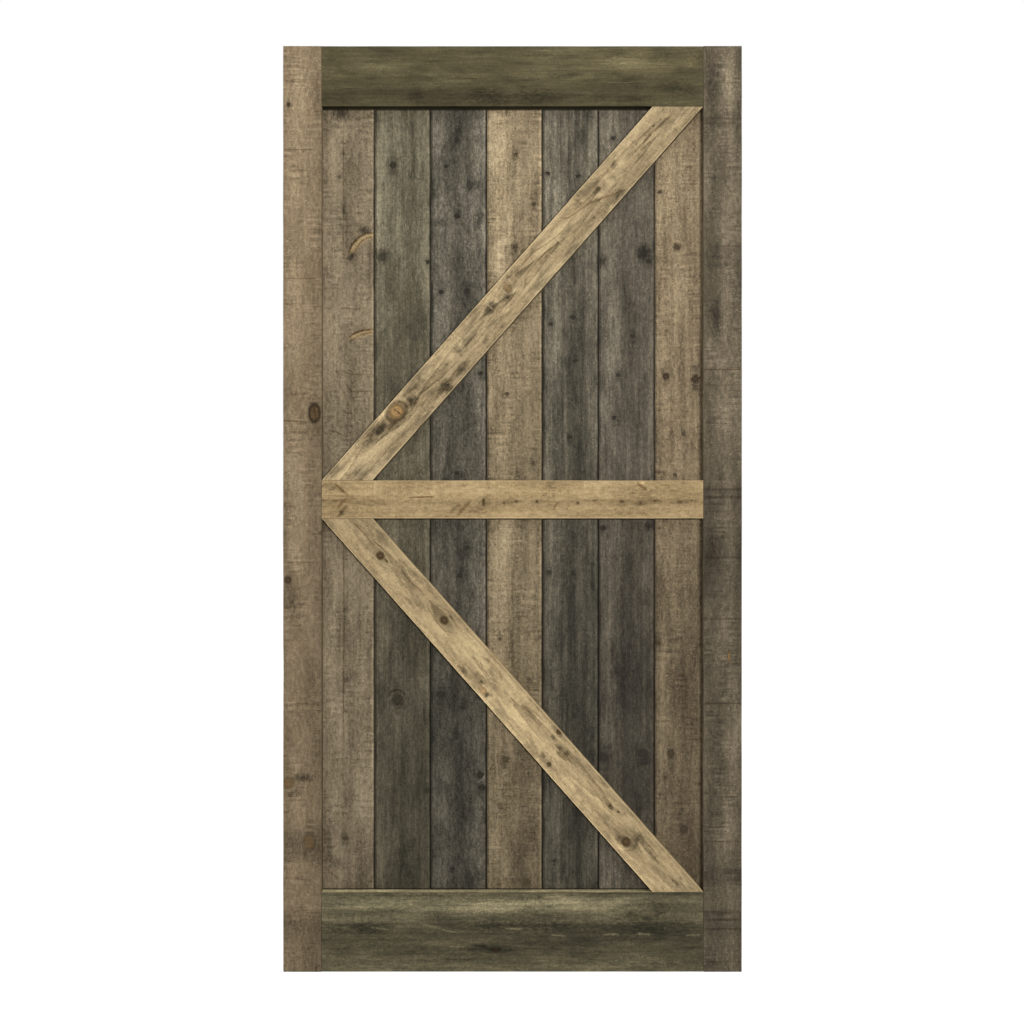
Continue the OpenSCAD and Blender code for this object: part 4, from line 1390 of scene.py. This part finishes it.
def wood_material(board, group):
    """The board's own wood: its colours and the strength of each layer."""
    look = board.look
    material = bpy.data.materials.new(board.name + "_wood")
    material.use_nodes = True
    t = Tree(material.node_tree)
    inputs = {name: linear(look[name.lower()]) for name in WOOD_COLOURS}
    amounts = {**PLAIN_AMOUNTS, **look}
    inputs.update({name: float(amounts[name.lower()]) for name in WOOD_AMOUNTS})
    inputs["Along"] = (board.along[0], 0.0, board.along[1])
    wood = t.node("ShaderNodeGroup", node_tree=group)
    for name, value in inputs.items():
        t.put(wood.inputs[name], value)
    shader = material.node_tree.nodes["Principled BSDF"]
    inputs = {"Strength": RELIEF_STRENGTH, "Distance": RELIEF * MM, "Height": wood.outputs["Height"]}
    bump = t.node("ShaderNodeBump", inputs)
    t.put(shader.inputs["Base Color"], wood.outputs["Colour"])
    t.put(shader.inputs["Roughness"], wood.outputs["Roughness"])
    t.put(shader.inputs["Normal"], bump.outputs["Normal"])
    shader.inputs["Specular IOR Level"].default_value = WOOD_SPECULAR
    return material


def screw_material():
    """Dark coated steel, dulled and rubbed bright in places."""
    material = bpy.data.materials.new("screw_steel")
    material.use_nodes = True
    t = Tree(material.node_tree)
    place = t.node("ShaderNodeTexCoord").outputs["Object"]
    inputs = {"Vector": place, "Scale": STEEL_CLOUDS, "Detail": 3.0}
    cloud = t.node("ShaderNodeTexNoise", inputs).outputs["Fac"]
    rubbed = t.ease(cloud, 0.5, 0.72)
    shader = material.node_tree.nodes["Principled BSDF"]
    t.put(shader.inputs["Base Color"], t.blend(rubbed, linear(STEEL_DARK), linear(STEEL_BRIGHT)))
    t.put(shader.inputs["Roughness"], t.scaled(cloud, 0.4, 0.25))
    shader.inputs["Metallic"].default_value = STEEL_METALLIC
    return material


# The door's boards, from the boxes of the CAD nodes

# Room at the ends of a rail or a brace, and the distance within which points lie on one plane
END_GAP = 0.35
CLOSE = 0.01

# Points closer than this belong to the same screw
SCREW_ROOM = 12.0


def box_mm(node):
    """The two corners of a node's box in millimetres."""
    low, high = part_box(node)
    return np.array(low) / MM, np.array(high) / MM


def upright_board(name, is_plank):
    """A stile or a plank."""
    low, high = box_mm(name)
    depth = high[1] - low[1]
    left, right = low[0], high[0]
    if is_plank:
        grooved = name != "left_edge_plank"
        tongued = name != "right_edge_plank"
        right -= (PLANK_GAP + TONGUE_REACH) * tongued
        half = (right - left) / 2
        section = plank_section(half, depth, grooved, tongued)
    else:
        half = (right - left) / 2
        section = face_section(half, depth)
    start = ((left + right) / 2, low[2])
    groove = FRONT if is_plank else BACK
    return Board(name, start, (0.0, 1.0), half, high[2] - low[2], low[1], section, groove=groove)


def level_board(name):
    """A rail, with a hair's breadth of room at its ends."""
    low, high = box_mm(name)
    half = (high[2] - low[2]) / 2
    section = face_section(half, high[1] - low[1], name == "bottom_rail", mesh_size(name))
    start = (low[0] + END_GAP, (low[2] + high[2]) / 2)
    return Board(name, start, (1.0, 0.0), half, high[0] - low[0] - 2 * END_GAP, low[1], section)


def slanted_board(name, rises):
    """A brace with level ends, between the middles of its two ends."""
    low, high = box_mm(name)
    points = np.array([vertex.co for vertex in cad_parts[name].data.vertices]) / MM
    flush = points[abs(points[:, 1] - high[1]) < CLOSE]
    ends = []
    for height in (low[2], high[2]):
        xs = flush[abs(flush[:, 2] - height) < CLOSE][:, 0]
        ends.append(np.array(((xs.min() + xs.max()) / 2, height)))
    end_width = xs.max() - xs.min()
    first, last = ends if rises else ends[::-1]
    way = last - first
    length = np.hypot(*way)
    along = way / length
    half = end_width * abs(along[1]) / 2
    section = face_section(half, high[1] - low[1], size=mesh_size(name))
    room = END_GAP / abs(along[1])
    start = first + along * room
    return Board(name, start, along, half, length - 2 * room, low[1], section, lean=along[0] / along[1])


def make_boards():
    """All boards, the face boards first."""
    boards = [upright_board(name, False) for name in ("left_stile", "right_stile")]
    boards += [level_board(name) for name in ("top_rail", "mid_rail", "bottom_rail")]
    boards += [slanted_board("upper_brace", True), slanted_board("lower_brace", False)]
    planks = ["left_edge_plank"] + [f"plank_{i}" for i in range(1, 8)] + ["right_edge_plank"]
    boards += [upright_board(name, True) for name in planks]
    return boards


def screw_places():
    """x and z of every screw: the middles of the separate islands of the CAD screw nodes."""
    places = []
    for name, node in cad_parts.items():
        if not name.endswith("_screws"):
            continue
        points = np.array([vertex.co for vertex in node.data.vertices]) / MM
        for point in points:
            if not any(abs(point[0] - x) < SCREW_ROOM and abs(point[2] - z) < SCREW_ROOM for x, z in places):
                near = points[(abs(points[:, [0, 2]] - point[[0, 2]]) < SCREW_ROOM).all(axis=1)]
                places.append(tuple((near.min(axis=0) + near.max(axis=0))[[0, 2]] / 2))
    return places


def make_wood():
    """Builds every board and puts it in the place of its CAD node."""
    group = wood_group()
    screws = screw_places()
    boards = make_boards()
    face_boards = [board for board in boards if board.groove != FRONT]
    for board in boards:
        board.mark_corners(face_boards)
        board.mark_knots()
        board.mark_cracks()
        board.mark_stains()
        board.wear()
        holes = []
        if board.groove == FRONT:
            offsets = [(x - board.start[0], z - board.start[1]) for x, z in screws]
            holes = [(u, v) for u, v in offsets if abs(u) < board.half]
        piece = bpy.data.objects.new(board.name + "_wood", build_mesh(board, holes))
        bpy.context.scene.collection.objects.link(piece)
        piece.data.materials.append(wood_material(board, group))
        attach(piece, "root")
        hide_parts(board.name)


def finish_screws():
    """Gives the CAD screws their steel."""
    steel = screw_material()
    for name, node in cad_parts.items():
        if name.endswith("_screws"):
            for slot in node.material_slots:
                slot.material = steel


# Floor, light and camera

# Light from all round, a small key from the right, a large lamp above and one behind, in metres
FILL = 0.3
LAMPS = {
    "key": dict(power=565.0, size=2.0, place=(3.1, -9.18, 1.5)),
    "top": dict(power=115.0, size=3.0, place=(0.4, -3.2, 6.6)),
    "back": dict(power=190.0, size=3.0, place=(-2.0, 5.0, 3.0)),
}
LAMP_AIM = (0.0, 0.0, 1.06)

# The floor in metres, its grey and roughness, and the glow that makes it white to the camera
FLOOR_HALF = 30.0
FLOOR_LEVEL = -0.0005
FLOOR_GREY = (0.8, 0.8, 0.8, 1.0)
FLOOR_ROUGHNESS = 0.9
FLOOR_GLOW = 0.85
WHITE = (1.0, 1.0, 1.0, 1.0)


def seen_directly(t):
    """1 for what the camera sees, itself or in a reflection, and 0 for light on the object."""
    path = t.node("ShaderNodeLightPath").outputs
    seen = t.math("MAXIMUM", path["Is Camera Ray"], path["Is Glossy Ray"])
    return t.math("MAXIMUM", seen, path["Is Transmission Ray"])


def make_world():
    """A world that is white to the camera and lights the object with the fill."""
    world = bpy.data.worlds.new("studio")
    world.use_nodes = True
    bpy.context.scene.world = world
    t = Tree(world.node_tree)
    background = world.node_tree.nodes["Background"]
    background.inputs["Color"].default_value = WHITE
    t.put(background.inputs["Strength"], t.scaled(seen_directly(t), 1.0 - FILL, FILL))


def make_floor():
    """A pale floor that the camera sees as white, with the door's shadow on it."""
    mesh = bpy.data.meshes.new("floor")
    corners = [(FLOOR_HALF * x, FLOOR_HALF * y, FLOOR_LEVEL) for x, y in ((-1, -1), (1, -1), (1, 1), (-1, 1))]
    mesh.from_pydata(corners, [], [(0, 1, 2, 3)])
    floor = bpy.data.objects.new("floor", mesh)
    bpy.context.scene.collection.objects.link(floor)
    material = bpy.data.materials.new("floor")
    material.use_nodes = True
    t = Tree(material.node_tree)
    shader = material.node_tree.nodes["Principled BSDF"]
    shader.inputs["Base Color"].default_value = FLOOR_GREY
    shader.inputs["Roughness"].default_value = FLOOR_ROUGHNESS
    shader.inputs["Specular IOR Level"].default_value = 0.0
    shader.inputs["Emission Color"].default_value = WHITE
    t.put(shader.inputs["Emission Strength"], t.product(seen_directly(t), FLOOR_GLOW))
    floor.data.materials.append(material)


def make_lamps():
    """Round lamps that all point at the middle of the door."""
    for name, made in LAMPS.items():
        light = bpy.data.lights.new(name, "AREA")
        light.energy = made["power"]
        light.shape = "DISK"
        light.size = made["size"]
        lamp = bpy.data.objects.new(name, light)
        bpy.context.scene.collection.objects.link(lamp)
        lamp.location = made["place"]
        aim = np.array(LAMP_AIM) - np.array(made["place"])
        lamp.rotation_euler = (math.acos(aim[2] / -np.linalg.norm(aim)), 0.0, math.atan2(-aim[0], aim[1]))


def make_camera():
    """The photo's camera, level and square to the door."""
    data = bpy.data.cameras.new("camera")
    data.sensor_width = SENSOR
    data.lens = SENSOR * CAMERA_AWAY / (2 * PHOTO_MID * PIXEL)
    camera = bpy.data.objects.new("camera", data)
    bpy.context.scene.collection.objects.link(camera)
    camera.location = (CAMERA_X * MM, CAMERA_Y * MM, CAMERA_Z * MM)
    camera.rotation_euler = (math.pi / 2, 0.0, 0.0)
    bpy.context.scene.camera = camera


make_wood()
finish_screws()
make_world()
make_floor()
make_lamps()
make_camera()
bpy.context.scene.view_settings.view_transform = "Standard"
